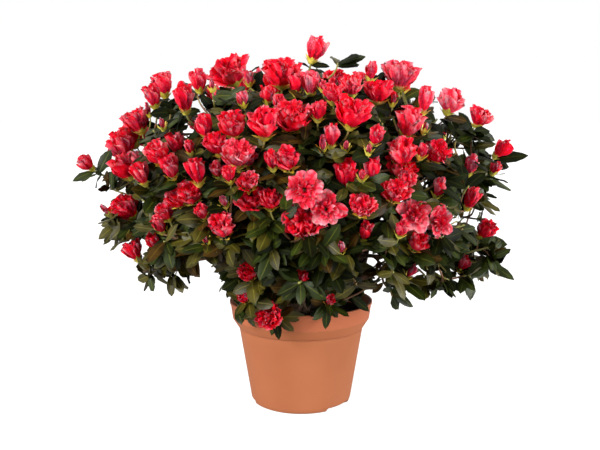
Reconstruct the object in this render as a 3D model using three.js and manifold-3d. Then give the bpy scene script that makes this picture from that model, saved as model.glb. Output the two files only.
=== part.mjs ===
// A potted azalea shrub in full bloom, standing in a terracotta-coloured plastic nursery pot.
// Millimetres, +Z up. The origin is the centre of the pot's flat underside, and -Y is the plant's front.
import * as THREE from "three";
import { mergeVertices } from "three/addons/utils/BufferGeometryUtils.js";
import Module from "manifold-3d";

const wasm = await Module();
wasm.setup();

// Driving dimensions
const clearance = 0.3; // between pieces that carry each other
const weld = 0.1; // slivers smaller than this close up where twigs and leaves fuse

const pot = {
  height: 123,
  rimRadius: 85,
  lip: 3, // height of the bead round the rim
  lipProud: 1,
  bandBottomRadius: 81.6, // the wide band under the rim, and the slope below it
  bandBottomZ: 103,
  stepRadius: 74.8,
  stepZ: 92,
  ledge: 0.9, // how far the slope stands over the body
  footRadius: 55,
  cornerRadius: 59.8, // where the body meets its rounded foot
  cornerZ: 6,
  wall: 2,
  floor: 3.2,
  floorRadius: 42, // flat part of the floor inside, within the raised corner
  cornerRun: 5,
  cornerFloor: 8,
  segments: 32,
};

// Drain notches, where the pot's wall and floor lift off the ground. Degrees anticlockwise from +X.
const notch = { height: 4.5, innerRadius: 47, width: 40, centres: [321, 183, 72] };

const soil = { crownZ: 110, edgeZ: 107, flatRadius: 30, gap: 0.4 }; // gap from the pot's wall and floor

const trunk = {
  radius: 9.5,
  flareRadius: 15,
  flareHeight: 16,
  lobes: 5,
  lobeDepth: 0.22, // as a share of the radius
  topZ: 178,
  topRounding: 0.12, // the last share of the height, drawn in to the square root of this share of the radius
  lean: 3,
  sides: 15,
  steps: 10,
};

const fork = new THREE.Vector3(0, 0, 180); // the masses share the crown out as cones from this point

// The crown is a squarish dome: a superellipse in profile, round in plan. Below its cut edge it runs in
// under itself to the pot's rim, a little higher at the front.
const crown = {
  centreZ: 262,
  radius: 242,
  top: 156,
  under: 138,
  squareness: 2.6,
  edgeZ: 160,
  innerRadius: 98,
  innerZ: 140,
  frontLift: 8,
};

// Rings of foliage masses: how many, how high they aim as seen from the fork, and where the first stands
const rings = [
  { name: "skirt", count: 6, rise: 2, turn: 30, boughZ: 140 },
  { name: "middle", count: 6, rise: 26, turn: 0, boughZ: 153 },
  { name: "upper", count: 5, rise: 54, turn: 20, boughZ: 166 },
  { name: "top", count: 1, rise: 90, turn: 0, boughZ: 178 },
];

// Reaches are shares of the way from the fork to the dome. A twig leaves its stem as far back of its tip
// as the tip lies beside the stem, times the branch slope.
const bough = { baseRadius: 3.3, tipRadius: 2.3, reach: 0.4, sunk: 3, outTurn: 0.8, sides: 5, steps: 4 };
const stem = { baseRadius: 2.2, tipRadius: 1.5, reach: 0.62, branchSlope: 1.1, sides: 5 };
const twig = { baseRadius: 1.5, tipRadius: 1.3, pull: 0.3, straightest: 60 };

const shoots = {
  count: 112, // over the whole dome
  downwardThinning: 1.04, // over 1 sets them closer at the top
  jitter: 0.3, // radians
  deepest: 34, // how far under the dome's surface a shoot may end
  lift: 0.75, // how strongly a shoot turns up
  liftUnder: 0.55, // the same on the crown's underside
  sway: 0.25,
  leastRoom: 8, // between a shoot and the border of its mass
  bloomLineZ: 205, // above this line nearly every shoot blooms
  bloomShareAbove: 0.94,
  bloomShareBelow: 0.16,
};

// Shoots that stand out of the dome, placed by bearing in degrees, radius and height
const firstSprig = 900; // the number of the first, for its rolls
const sprigs = [
  { bearing: 20, radius: 20, z: 404, up: 3, bloom: 30 },
  { bearing: 181, radius: 246, z: 282, up: 0.9, bloom: 22 },
  { bearing: 2, radius: 236, z: 296, up: 1.2, bloom: 24 },
  { bearing: 345, radius: 222, z: 176, up: -0.1, bloom: 0 },
  { bearing: 325, radius: 185, z: 166, up: 0.2, bloom: 0 },
  { bearing: 352, radius: 205, z: 170, up: 0, bloom: 0 },
  { bearing: 225, radius: 108, z: 376, up: 1.4, bloom: 40 },
];

// Heights in a bloom are shares of its own height, and radii are shares of its size
const bloom = {
  smallest: 38,
  largest: 50,
  heightShare: 0.82,
  cupRadius: 0.37,
  cupHeight: 0.3,
  rimRadius: 0.5,
  ruffleRadius: 0.42,
  rimHeight: 0.86,
  ruffleDrop: 0.14,
  heartHeight: 0.6,
};

const leaf = {
  length: 50,
  width: 22,
  thickness: 1.3,
  widestAt: 0.52,
  droop: 0.2,
  steepest: 0.3, // how far a leaf may point down
  rootDepth: 0.4,
  underBloom: 3,
  onLeafyShoot: 5,
  places: 8, // tried in each whorl
  turn: 2.4, // radians from one to the next
  spacing: 2.2,
  margin: 0.5,
};

const colours = {
  pot: 0xc97f58,
  soil: 0x3a2a20,
  bark: 0x6b5238,
  foliage: 0x8c2b33,
};

// The same number from 0 to 1 for the same shoot and draw
const roll = (shoot, draw) => {
  const s = Math.sin(shoot * 12.9898 + draw * 78.233) * 43758.5453;
  return s - Math.floor(s);
};

const radians = THREE.MathUtils.degToRad;
const around = (angle, radius, z) => new THREE.Vector3(radius * Math.cos(angle), radius * Math.sin(angle), z);
const moved = (point, direction, distance) => point.clone().addScaledVector(direction, distance);

// A closed geometry as a solid, with its faces turned outwards
function solidOf(geometry) {
  const bare = geometry.clone();
  bare.deleteAttribute("normal");
  bare.deleteAttribute("uv");
  const merged = mergeVertices(bare, 1e-3);
  const vertProperties = merged.attributes.position.array;
  const triVerts = new Uint32Array(merged.index.array);
  const made = new wasm.Manifold(new wasm.Mesh({ numProp: 3, vertProperties, triVerts }));
  if (made.volume() >= 0) return made;
  triVerts.reverse();
  return new wasm.Manifold(new wasm.Mesh({ numProp: 3, vertProperties, triVerts }));
}

function geometryOf(solid) {
  const mesh = solid.getMesh();
  const points = new Float32Array(mesh.numVert * 3);
  for (let i = 0; i < mesh.numVert; i++) {
    points.set(mesh.vertProperties.subarray(i * mesh.numProp, i * mesh.numProp + 3), i * 3);
  }
  return new THREE.BufferGeometry()
    .setAttribute("position", new THREE.BufferAttribute(points, 3))
    .setIndex(new THREE.BufferAttribute(mesh.triVerts, 1));
}

// Vectors and triangles as a geometry
function facets(points, faces) {
  return new THREE.BufferGeometry()
    .setAttribute("position", new THREE.Float32BufferAttribute(points.flatMap((p) => [p.x, p.y, p.z]), 3))
    .setIndex(faces);
}

// A profile of [radius, height] pairs turned round the Z axis
function turned(profile, segments) {
  const points = profile.map(([r, z]) => new THREE.Vector2(r, z));
  return new THREE.LatheGeometry(points, segments).rotateX(Math.PI / 2);
}

// Rings of points joined into one closed surface. A ring of six can follow a ring of three, and a last
// point can stand for the last ring.
function loft(rings, lastPoint) {
  const points = rings.flat();
  const faces = [];
  let start = 0;
  for (let i = 0; i + 1 < rings.length; i++) {
    const n = rings[i].length;
    const upper = start + n;
    for (let k = 0; k < n; k++) {
      const next = (k + 1) % n;
      if (rings[i + 1].length === n) {
        faces.push(start + k, start + next, upper + k, start + next, upper + next, upper + k);
      } else {
        const [b, c, d] = [2 * k, 2 * k + 1, 2 * next].map((corner) => upper + corner);
        faces.push(start + k, start + next, c, start + k, c, b, start + next, d, c);
      }
    }
    start = upper;
  }
  const n = rings[rings.length - 1].length;
  for (let k = 1; k < rings[0].length - 1; k++) faces.push(0, k + 1, k);
  if (lastPoint) {
    points.push(lastPoint);
    for (let k = 0; k < n; k++) faces.push(start + k, start + ((k + 1) % n), start + n);
  } else {
    for (let k = 1; k < n - 1; k++) faces.push(start, start + k, start + k + 1);
  }
  return facets(points, faces);
}

// Points round a centre, in the plane of two unit vectors
function ringOf(centre, normal, binormal, count, radiusAt, turn = 0) {
  return Array.from({ length: count }, (_, k) => {
    const angle = (2 * Math.PI * (k + turn)) / count;
    const r = radiusAt(angle, k);
    return centre
      .clone()
      .addScaledVector(normal, r * Math.cos(angle))
      .addScaledVector(binormal, r * Math.sin(angle));
  });
}

// The rings of a limb along a curve, whose radius is a function of the share of its length and the angle
function limbRings(curve, radiusAt, sides, steps) {
  const { normals, binormals } = curve.computeFrenetFrames(steps, false);
  return Array.from({ length: steps + 1 }, (_, i) =>
    ringOf(curve.getPoint(i / steps), normals[i], binormals[i], sides, (angle) => radiusAt(i / steps, angle)),
  );
}

const limb = (curve, radiusAt, sides, steps) => loft(limbRings(curve, radiusAt, sides, steps));

const taper = (from, to) => (share) => from + (to - from) * share;

// The pot
const bodySlope = (pot.stepRadius - pot.ledge - pot.cornerRadius) / (pot.stepZ - pot.cornerZ);
const bodyRadius = (z) => pot.cornerRadius + bodySlope * (z - pot.cornerZ);

// The inside of the wall, drawn in by a gap, from the floor's edge up to a height in the band
function innerWall(gap, topZ, topRadius) {
  const inset = pot.wall + gap;
  return [
    [pot.floorRadius - gap, pot.floor + gap],
    [pot.floorRadius + pot.cornerRun - gap, pot.cornerFloor + gap],
    [bodyRadius(pot.cornerFloor + 1) - inset, pot.cornerFloor + 1 + gap],
    [pot.stepRadius - pot.ledge - inset, pot.stepZ + 1 + gap],
    [pot.bandBottomRadius - inset, pot.bandBottomZ + 1 + gap],
    [topRadius, topZ],
  ];
}

function potSolid() {
  const corner = [1, 2].map((k) => {
    const angle = (k / 2) * (Math.PI / 2);
    const across = (pot.cornerRadius - pot.footRadius) * Math.sin(angle);
    return [pot.footRadius + across, pot.cornerZ * (1 - Math.cos(angle))];
  });
  const outside = [
    [0, 0],
    [pot.footRadius, 0],
    ...corner,
    [pot.stepRadius - pot.ledge, pot.stepZ],
    [pot.stepRadius, pot.stepZ],
    [pot.bandBottomRadius, pot.bandBottomZ],
    [pot.rimRadius - pot.lipProud, pot.height - pot.lip],
    [pot.rimRadius, pot.height - pot.lip],
    [pot.rimRadius, pot.height],
  ];
  const mouthRadius = pot.rimRadius - pot.wall - pot.lipProud;
  const inside = innerWall(0, pot.height, mouthRadius).reverse();
  const shell = solidOf(turned([...outside, ...inside, [0, pot.floor]], pot.segments));
  return notch.centres.reduce((rest, centre) => rest.subtract(notchSolid(centre)), shell);
}

// A block of a ring that is cut out of the pot's foot
function notchSolid(centre) {
  const half = radians(notch.width / 2);
  const shape = new THREE.Shape();
  shape.absarc(0, 0, pot.rimRadius, -half, half, false);
  shape.absarc(0, 0, notch.innerRadius, half, -half, true);
  const block = new THREE.ExtrudeGeometry(shape, {
    depth: notch.height + 1,
    bevelEnabled: false,
    curveSegments: 4,
  });
  return solidOf(block.translate(0, 0, -1).rotateZ(radians(centre)));
}

// Potting soil, which fills the pot to just under the rim
function soilSolid() {
  const wallShare = (soil.edgeZ - pot.bandBottomZ) / (pot.height - pot.bandBottomZ);
  const topWidening = pot.rimRadius - pot.lipProud - pot.bandBottomRadius;
  const edgeRadius = pot.bandBottomRadius + topWidening * wallShare - pot.wall - soil.gap;
  const side = innerWall(soil.gap, soil.edgeZ, edgeRadius);
  const profile = [[0, pot.floor + soil.gap], ...side, [soil.flatRadius, soil.crownZ], [0, soil.crownZ]];
  return solidOf(turned(profile, pot.segments));
}

// The room of the pot and its soil, with a little air round it
function potSpaceProfile() {
  const [radius, top] = [pot.rimRadius + 1, pot.height + 1];
  return [
    [0, 0],
    [radius, 0],
    [radius, top],
    [0, top],
  ];
}

// The trunk: a short leaning stem with a lobed root flare, rounded at the fork. It can be grown by a gap.
function trunkLimb(gap) {
  const footZ = soil.crownZ + clearance;
  const height = trunk.topZ - footZ;
  const axis = new THREE.CatmullRomCurve3([
    new THREE.Vector3(-trunk.lean, 0, footZ),
    new THREE.Vector3(-trunk.lean / 2, 0, footZ + height * 0.3),
    new THREE.Vector3(0, 0, footZ + height * 0.6),
    new THREE.Vector3(0, 0, trunk.topZ + gap),
  ]);
  const radiusAt = (share, angle) => {
    const flare = Math.max(0, 1 - (share * height) / trunk.flareHeight) ** 2;
    const lobed = 1 + trunk.lobeDepth * flare * Math.cos(trunk.lobes * angle);
    const overTop = Math.max(0, 1 - (1 - share) / trunk.topRounding);
    const rounded = Math.sqrt(Math.max(trunk.topRounding, 1 - overTop ** 2));
    return (trunk.radius + (trunk.flareRadius - trunk.radius) * flare) * lobed * rounded + gap;
  };
  return solidOf(limb(axis, radiusAt, trunk.sides, trunk.steps));
}

// The trunk is cut flat where it stands on the soil
function trunkSolid() {
  const depth = soil.crownZ;
  const below = new THREE.BoxGeometry(depth, depth, depth).translate(0, 0, clearance + depth / 2);
  return trunkLimb(0).subtract(solidOf(below));
}

// Distance out to the dome is 1 on its surface
function domeMeasure(p) {
  const half = p.z > crown.centreZ ? crown.top : crown.under;
  const across = Math.hypot(p.x, p.y) / crown.radius;
  const up = Math.abs(p.z - crown.centreZ) / half;
  return (across ** crown.squareness + up ** crown.squareness) ** (1 / crown.squareness);
}

// The crown's profile from its top down to the cut edge, in equal steps of angle, and then in to the rim.
// Each row also holds the area above it.
function crownProfile(steps) {
  const power = 2 / crown.squareness;
  const lowest = -Math.asin(((crown.centreZ - crown.edgeZ) / crown.under) ** (1 / power));
  const rows = [];
  for (let i = 0; i <= steps; i++) {
    const angle = Math.PI / 2 + ((lowest - Math.PI / 2) * i) / steps;
    const half = angle > 0 ? crown.top : crown.under;
    const r = crown.radius * Math.abs(Math.cos(angle)) ** power;
    const z = crown.centreZ + half * Math.sign(angle) * Math.abs(Math.sin(angle)) ** power;
    rows.push({ r, z, area: 0 });
  }
  const edge = rows[steps];
  for (let i = 1; i <= 20; i++) {
    const r = THREE.MathUtils.lerp(edge.r, crown.innerRadius, i / 20);
    rows.push({ r, z: THREE.MathUtils.lerp(edge.z, crown.innerZ, i / 20), area: 0 });
  }
  for (let i = 1; i < rows.length; i++) {
    const [a, b] = [rows[i - 1], rows[i]];
    b.area = a.area + ((a.r + b.r) / 2) * Math.hypot(b.r - a.r, b.z - a.z);
  }
  return rows;
}

// The profile's point that has the given share of the crown's area above it, and the way out from there
function profileAt(rows, share) {
  const wanted = share * rows[rows.length - 1].area;
  const i = Math.max(1, rows.findIndex((row) => row.area >= wanted));
  const [a, b] = [rows[i - 1], rows[i]];
  const t = (wanted - a.area) / (b.area - a.area);
  const [acrossStep, upStep] = [b.r - a.r, b.z - a.z];
  const length = Math.hypot(acrossStep, upStep);
  return {
    r: a.r + acrossStep * t,
    z: a.z + upStep * t,
    outR: -upStep / length,
    outZ: acrossStep / length,
  };
}

// The foliage masses: each has a direction from the fork, a bough and the reach of the dome along it
function massList() {
  return rings.flatMap((ring) =>
    Array.from({ length: ring.count }, (_, k) => {
      const bearing = radians(ring.turn + (360 * k) / ring.count);
      const rise = radians(ring.rise);
      const aim = around(bearing, Math.cos(rise), Math.sin(rise));
      let [near, far] = [0, 2 * crown.radius];
      for (let step = 0; step < 30; step++) {
        const middle = (near + far) / 2;
        if (domeMeasure(moved(fork, aim, middle)) < 1) near = middle;
        else far = middle;
      }
      const name = ring.count > 1 ? `${ring.name}_${k + 1}` : ring.name;
      return { name, ring, bearing, aim, reach: near, shoots: [] };
    }),
  );
}

// The planes that part one mass's cone from the others'
function bordersOf(mass, masses) {
  return masses.filter((other) => other !== mass).map((other) => mass.aim.clone().sub(other.aim).normalize());
}

const nearestMass = (masses, p) => {
  const way = p.clone().sub(fork).normalize();
  return masses.reduce((best, mass) => (mass.aim.dot(way) > best.aim.dot(way) ? mass : best));
};

// A shoot with its bloom or leaf tuft. Its tip is stepped in from the mass's borders.
function addShoot(masses, index, surface, outward, up, depth, bloomSize) {
  const axis = moved(outward, new THREE.Vector3(0, 0, 1), up);
  const sway = around(2 * Math.PI * roll(index, 5), shoots.sway * roll(index, 6), 0);
  axis.add(sway).normalize();
  const height = bloomSize * bloom.heightShare;
  const tip = moved(moved(surface, outward, -depth), axis, -height);
  const mass = nearestMass(masses, tip);
  const room = Math.max(bloomSize / 2, shoots.leastRoom) + leaf.margin + clearance;
  for (let pass = 0; pass < 3; pass++) {
    for (const border of mass.borders) {
      const centre = moved(tip, axis, height / 2).sub(fork);
      tip.addScaledVector(border, Math.max(0, room - centre.dot(border)));
    }
  }
  mass.shoots.push({ index, tip, axis, bloomSize, height });
}

function growShoots(masses) {
  const rows = crownProfile(200);
  const golden = Math.PI * (3 - Math.sqrt(5));
  for (let i = 0; i < shoots.count; i++) {
    const share = ((i + 0.5) / shoots.count) ** shoots.downwardThinning;
    const { r, z, outR, outZ } = profileAt(rows, share);
    const bearing = i * golden + shoots.jitter * (roll(i, 1) - 0.5);
    const low = THREE.MathUtils.clamp((crown.centreZ - z) / (crown.centreZ - crown.edgeZ), 0, 1);
    const outness = THREE.MathUtils.clamp((r - crown.innerRadius) / crown.innerRadius, 0, 1);
    const frontness = Math.max(0, -Math.sin(bearing)) ** 2;
    const surface = around(bearing, r, z + crown.frontLift * frontness * low * outness);
    const outward = around(bearing, outR, outZ);
    const under = outZ < 0 && z < crown.edgeZ;
    const bloomShare = z > shoots.bloomLineZ ? shoots.bloomShareAbove : shoots.bloomShareBelow;
    const size = roll(i, 2) < bloomShare ? bloom.smallest + (bloom.largest - bloom.smallest) * roll(i, 3) : 0;
    const lift = under ? shoots.liftUnder : shoots.lift;
    addShoot(masses, i, surface, outward, lift, shoots.deepest * roll(i, 4) ** 2, size);
  }
}

function growSprigs(masses) {
  sprigs.forEach((sprig, k) => {
    const surface = around(radians(sprig.bearing), sprig.radius, sprig.z);
    const outward = around(radians(sprig.bearing), 1, 0);
    const base = moved(surface, outward.clone().setZ(sprig.up).normalize(), sprig.bloom * bloom.heightShare);
    addShoot(masses, firstSprig + k, base, outward, sprig.up, 0, sprig.bloom);
  });
}

// A thin leaf of eight faces: a lozenge with a ridge, drooping to its tip
function leafSolid(base, direction, up, length, width) {
  const side = new THREE.Vector3().crossVectors(direction, up).normalize();
  const top = new THREE.Vector3().crossVectors(side, direction).normalize();
  const middle = moved(base, direction, length * leaf.widestAt);
  const tip = moved(moved(base, direction, length), top, -length * leaf.droop);
  const points = [
    moved(base, direction, -leaf.rootDepth),
    moved(middle, side, width / 2),
    tip,
    moved(middle, side, -width / 2),
    moved(middle, top, leaf.thickness / 2),
    moved(middle, top, -leaf.thickness),
  ];
  const faces = [0, 1, 4, 1, 2, 4, 2, 3, 4, 3, 0, 4, 1, 0, 5, 2, 1, 5, 3, 2, 5, 0, 3, 5];
  return solidOf(facets(points, faces));
}

// A three-sided twig that opens at its tip into the shoot's bloom, a ruffled cup round a hollow heart
function shootSolid(curve, shoot) {
  const steps = shoot.tip.distanceTo(curve.v0) > twig.straightest ? 3 : 2;
  const rings = limbRings(curve, taper(twig.baseRadius, twig.tipRadius), 3, steps);
  if (shoot.bloomSize === 0) return solidOf(loft(rings));
  const { normals, binormals } = curve.computeFrenetFrames(steps, false);
  const [normal, binormal] = [normals[steps], binormals[steps]];
  const level = (share) => moved(shoot.tip, shoot.axis, shoot.height * share);
  const cupRadius = () => shoot.bloomSize * bloom.cupRadius;
  const rimRadius = (angle, k) => shoot.bloomSize * (k % 2 ? bloom.rimRadius : bloom.ruffleRadius);
  const cup = ringOf(level(bloom.cupHeight), normal, binormal, 6, cupRadius);
  const rim = ringOf(level(bloom.rimHeight), normal, binormal, 6, rimRadius, 0.5);
  for (let k = 1; k < 6; k += 2) rim[k].addScaledVector(shoot.axis, -shoot.height * bloom.ruffleDrop);
  return solidOf(loft([...rings, cup, rim], level(bloom.heartHeight)));
}

// Leaves in a whorl round the shoot, under its bloom or at its tip. A leaf that would leave the mass's space
// or touch a limb is skipped, and the next place in the whorl is tried.
function whorl(shoot, fits) {
  const wanted = shoot.bloomSize > 0 ? leaf.underBloom : leaf.onLeafyShoot;
  const start = new THREE.Vector3().crossVectors(shoot.axis, new THREE.Vector3(0.3, 1, 0.1)).normalize();
  const leaves = [];
  for (let k = 0; k < leaf.places && leaves.length < wanted; k++) {
    const turn = leaf.turn * k + 2 * Math.PI * roll(shoot.index, 10);
    const spread = start.clone().applyAxisAngle(shoot.axis, turn);
    const direction = moved(spread, shoot.axis, shoot.bloomSize > 0 ? 0.15 : 0.4).normalize();
    direction.setZ(Math.max(direction.z, -leaf.steepest)).normalize();
    const grown = 0.85 + 0.3 * roll(shoot.index, 20 + k);
    const base = moved(shoot.tip, shoot.axis, -leaf.spacing * (leaves.length + 1));
    const solid = leafSolid(base, direction, shoot.axis, leaf.length * grown, leaf.width * grown);
    if (fits(solid)) leaves.push(solid);
  }
  return leaves;
}

// Whether every corner of a solid lies in its mass's cone
const inSpace = (solid, mass) => {
  const { vertProperties, numProp, numVert } = solid.getMesh();
  for (let i = 0; i < numVert; i++) {
    const at = i * numProp;
    const p = new THREE.Vector3(vertProperties[at], vertProperties[at + 1], vertProperties[at + 2]).sub(fork);
    if (mass.borders.some((border) => p.dot(border) < leaf.margin)) return false;
  }
  return true;
};

const touches = (solid, other) => solid.intersect(other).volume() > 0;

function boughEnds(mass) {
  const outward = around(mass.bearing, 1, 0);
  const atTop = mass.ring.rise === 90;
  const start = atTop
    ? new THREE.Vector3(0, 0, trunk.topZ - bough.sunk)
    : moved(new THREE.Vector3(0, 0, mass.ring.boughZ), outward, trunk.radius - bough.sunk);
  const end = moved(fork, mass.aim, mass.reach * bough.reach);
  return { start, end, outward: atTop ? mass.aim : moved(mass.aim, outward, bough.outTurn).normalize() };
}

// One bough, from 0.3 mm off the trunk to where it enters its mass
function boughSolid(mass, trunkAndGap) {
  const { start, end, outward } = boughEnds(mass);
  const span = start.distanceTo(end);
  const curve = new THREE.CubicBezierCurve3(
    start,
    moved(start, outward, span * twig.pull),
    moved(end, mass.aim, -span * twig.pull),
    end,
  );
  const tube = limb(curve, taper(bough.baseRadius, bough.tipRadius), bough.sides, bough.steps);
  return biggest(solidOf(tube).subtract(trunkAndGap));
}

function biggest(solid) {
  return solid.decompose().reduce((best, part) => (part.volume() > best.volume() ? part : best));
}

// A fused mass without its slivers and loose scraps. It is read back at the meshes' own precision.
function settled(solid) {
  const whole = biggest(solid.simplify(weld));
  return biggest(solidOf(geometryOf(whole)));
}

// One mass: a stem on from the bough, a twig to each shoot with its bloom, and then the shoots' leaves. A
// leaf keeps clear of the other shoots.
function massSolid(mass, keepOut) {
  const start = moved(fork, mass.aim, mass.reach * bough.reach + clearance);
  const end = moved(fork, mass.aim, mass.reach * stem.reach);
  const stemLength = start.distanceTo(end);
  const stemSolid = solidOf(
    limb(new THREE.LineCurve3(start, end), taper(stem.baseRadius, stem.tipRadius), stem.sides, 1),
  );
  const grown = [];
  for (const shoot of mass.shoots) {
    const offset = shoot.tip.clone().sub(start);
    const along = offset.dot(mass.aim);
    const lateral = Math.sqrt(Math.max(0, offset.lengthSq() - along * along));
    const branchAt = THREE.MathUtils.clamp(along - lateral * stem.branchSlope, 2, stemLength * 0.97);
    const root = moved(start, mass.aim, branchAt);
    const length = root.distanceTo(shoot.tip);
    const curve = new THREE.CubicBezierCurve3(
      root,
      moved(root, mass.aim, length * twig.pull),
      moved(shoot.tip, shoot.axis, -length * twig.pull),
      shoot.tip,
    );
    const solid = shootSolid(curve, shoot);
    if (inSpace(solid, mass) && !touches(solid, keepOut)) grown.push({ shoot, solid });
  }
  const leaves = [];
  for (const { shoot, solid } of grown) {
    const others = grown.filter((other) => other.solid !== solid).map((other) => other.solid);
    const fits = (one) =>
      inSpace(one, mass) && ![keepOut, ...others, ...leaves].some((other) => touches(one, other));
    leaves.push(...whorl(shoot, fits));
  }
  return settled(wasm.Manifold.union([stemSolid, ...grown.map(({ solid }) => solid), ...leaves]));
}

const materials = {
  pot: new THREE.MeshStandardMaterial({ color: colours.pot, roughness: 0.55, metalness: 0 }),
  soil: new THREE.MeshStandardMaterial({ color: colours.soil, roughness: 1, metalness: 0 }),
  bark: new THREE.MeshStandardMaterial({ color: colours.bark, roughness: 0.9, metalness: 0 }),
  foliage: new THREE.MeshStandardMaterial({ color: colours.foliage, roughness: 0.6, metalness: 0 }),
};

function named(name, solid, material) {
  const mesh = new THREE.Mesh(geometryOf(solid), material);
  mesh.name = name;
  return mesh;
}

const shrub = new THREE.Group();
const potBody = potSolid();
const soilBody = soilSolid();
const trunkBody = trunkSolid();
shrub.add(named("pot", potBody, materials.pot));
shrub.add(named("potting_soil", soilBody, materials.soil));
shrub.add(named("trunk", trunkBody, materials.bark));

// The boughs are cut back from the trunk by the clearance
const trunkAndGap = trunkLimb(clearance + 0.05);

const masses = massList();
masses.forEach((mass) => {
  mass.borders = bordersOf(mass, masses);
});
growShoots(masses);
growSprigs(masses);
const boughBodies = masses.map((mass) => boughSolid(mass, trunkAndGap));

// Foliage stays out of the pot with its soil, and off the trunk and the boughs
const potSpace = solidOf(turned(potSpaceProfile(), pot.segments));
const keepOut = wasm.Manifold.union([potSpace, trunkBody, ...boughBodies]);

masses.forEach((mass, i) => {
  shrub.add(named(`bough_${mass.name}`, boughBodies[i], materials.bark));
  shrub.add(named(`foliage_${mass.name}`, massSolid(mass, keepOut), materials.foliage));
});

export default shrub;
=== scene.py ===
import bpy
import numpy as np
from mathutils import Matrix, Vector


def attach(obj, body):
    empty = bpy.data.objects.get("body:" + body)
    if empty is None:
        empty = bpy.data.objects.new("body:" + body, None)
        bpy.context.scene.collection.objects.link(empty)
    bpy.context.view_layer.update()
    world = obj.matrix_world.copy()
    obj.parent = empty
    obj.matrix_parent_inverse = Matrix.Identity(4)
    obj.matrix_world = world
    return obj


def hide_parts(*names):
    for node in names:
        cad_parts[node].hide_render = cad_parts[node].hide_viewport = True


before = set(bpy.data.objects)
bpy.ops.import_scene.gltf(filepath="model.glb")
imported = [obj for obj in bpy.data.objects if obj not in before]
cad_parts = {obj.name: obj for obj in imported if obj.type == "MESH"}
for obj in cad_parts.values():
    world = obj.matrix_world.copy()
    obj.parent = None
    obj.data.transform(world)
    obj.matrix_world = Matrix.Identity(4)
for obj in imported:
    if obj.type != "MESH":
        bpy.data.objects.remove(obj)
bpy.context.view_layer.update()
print("frame loaded:", len(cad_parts), "CAD nodes")

mm = 0.001
upZ = np.array([0.0, 0.0, 1.0])
axisGap = 0.02  # millimetres from its axis at which a turned or tubular surface ends
foliageNodes = sorted(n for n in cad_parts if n.startswith("foliage_"))
boughNodes = sorted(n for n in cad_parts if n.startswith("bough_"))


# Small tools for rows of vectors

def unit(v):
    # each vector over its own length
    return v / np.maximum(np.linalg.norm(v, axis=-1, keepdims=True), 1e-12)


def roll(shoot, draw):
    # the fraction of a large sine: the same number from 0 to 1 for the same shoot and draw
    s = np.sin(np.asarray(shoot, float) * 12.9898 + draw * 78.233) * 43758.5453
    return s - np.floor(s)


def swing(shoot, draw):
    # the same roll from -1 to 1
    return 2 * roll(shoot, draw) - 1


def around(angle, radius, z):
    # polar to straight coordinates
    return np.array([radius * np.cos(angle), radius * np.sin(angle), z], float)


def mix(a, b, share):
    return a + (b - a) * share


def smooth(x):
    # 3x^2 - 2x^3 between 0 and 1
    x = np.clip(x, 0, 1)
    return x * x * (3 - 2 * x)


def between(x, first, second):
    # smoothly from 0 where x is the first value to 1 where it is the second
    return smooth((x - first) / (second - first))


def turnedAbout(v, axis, angle):
    # v turned about the unit axis: v cos a + (axis x v) sin a + axis (axis . v)(1 - cos a)
    a = np.asarray(angle)[..., None]
    along = (v * axis).sum(-1, keepdims=True)
    return v * np.cos(a) + np.cross(axis, v) * np.sin(a) + axis * along * (1 - np.cos(a))


def sideAxes(axis):
    # two unit vectors square to each axis and to each other
    away = np.where(np.abs(axis[..., 2:3]) > 0.8, np.array([1.0, 0.2, 0.0]), upZ)
    first = unit(np.cross(axis, away))
    return first, np.cross(axis, first)


def roughness(points, size, seed):
    # three layers of five sines along random directions, the finer the weaker, from about -1 to 1
    rng = np.random.default_rng(seed)
    total = np.zeros(points.shape[:-1])
    for layer in range(3):
        finer = 1.9**layer
        for _ in range(5):
            way = unit(rng.normal(size=3))
            total += np.sin(points @ way * (2 * np.pi * finer / size) + rng.uniform(0, 6.28)) / finer
    return total / 4.2


def gathered(rows, key):
    # one value of each row, as an array
    return np.array([row[key] for row in rows])


# Grids and meshes

def gridQuads(patches, rows, columns, ringed=False):
    # the four corner numbers of each cell of many equal grids that are stored one after another
    across = columns if ringed else columns - 1
    r, c = np.meshgrid(np.arange(rows - 1), np.arange(across), indexing="ij")
    corners = ((r, c), (r, c + 1), (r + 1, c + 1), (r + 1, c))
    cell = np.stack([row * columns + column % columns for row, column in corners], -1).reshape(-1, 4)
    start = (np.arange(patches) * rows * columns)[:, None, None]
    return (cell[None] + start).reshape(-1, 4)


def newObject(name, data):
    # a mesh, light or camera as an object of the scene, at the origin
    made = bpy.data.objects.new(name, data)
    bpy.context.scene.collection.objects.link(made)
    return made


def meshPiece(name, points, quads, slotName, nodes, material, uv=None, tone=None):
    # one object at the origin, with its place in its mesh, riding on the plant's only body
    mesh = bpy.data.meshes.new(name)
    points = np.asarray(points, float).reshape(-1, 3)
    mesh.vertices.add(len(points))
    mesh.vertices.foreach_set("co", (points * mm).astype(np.float32).ravel())
    mesh.loops.add(quads.size)
    mesh.loops.foreach_set("vertex_index", quads.astype(np.int32).ravel())
    mesh.polygons.add(len(quads))
    mesh.polygons.foreach_set("loop_start", np.arange(0, quads.size, 4, dtype=np.int32))
    mesh.polygons.foreach_set("use_smooth", np.ones(len(quads), bool))
    if uv is not None:
        layer = mesh.uv_layers.new(name="own")
        layer.data.foreach_set("uv", np.asarray(uv, np.float32).reshape(-1, 2)[quads.ravel()].ravel())
    if tone is not None:
        place = mesh.attributes.new("tone", "FLOAT", "POINT")
        place.data.foreach_set("value", np.asarray(tone, np.float32).ravel())
    mesh.update(calc_edges=True)
    mesh.validate()
    mesh.materials.append(material)
    piece = newObject(name, mesh)
    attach(piece, "root")
    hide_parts(*nodes)
    print("piece", name, 2 * len(quads), "triangles")


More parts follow.
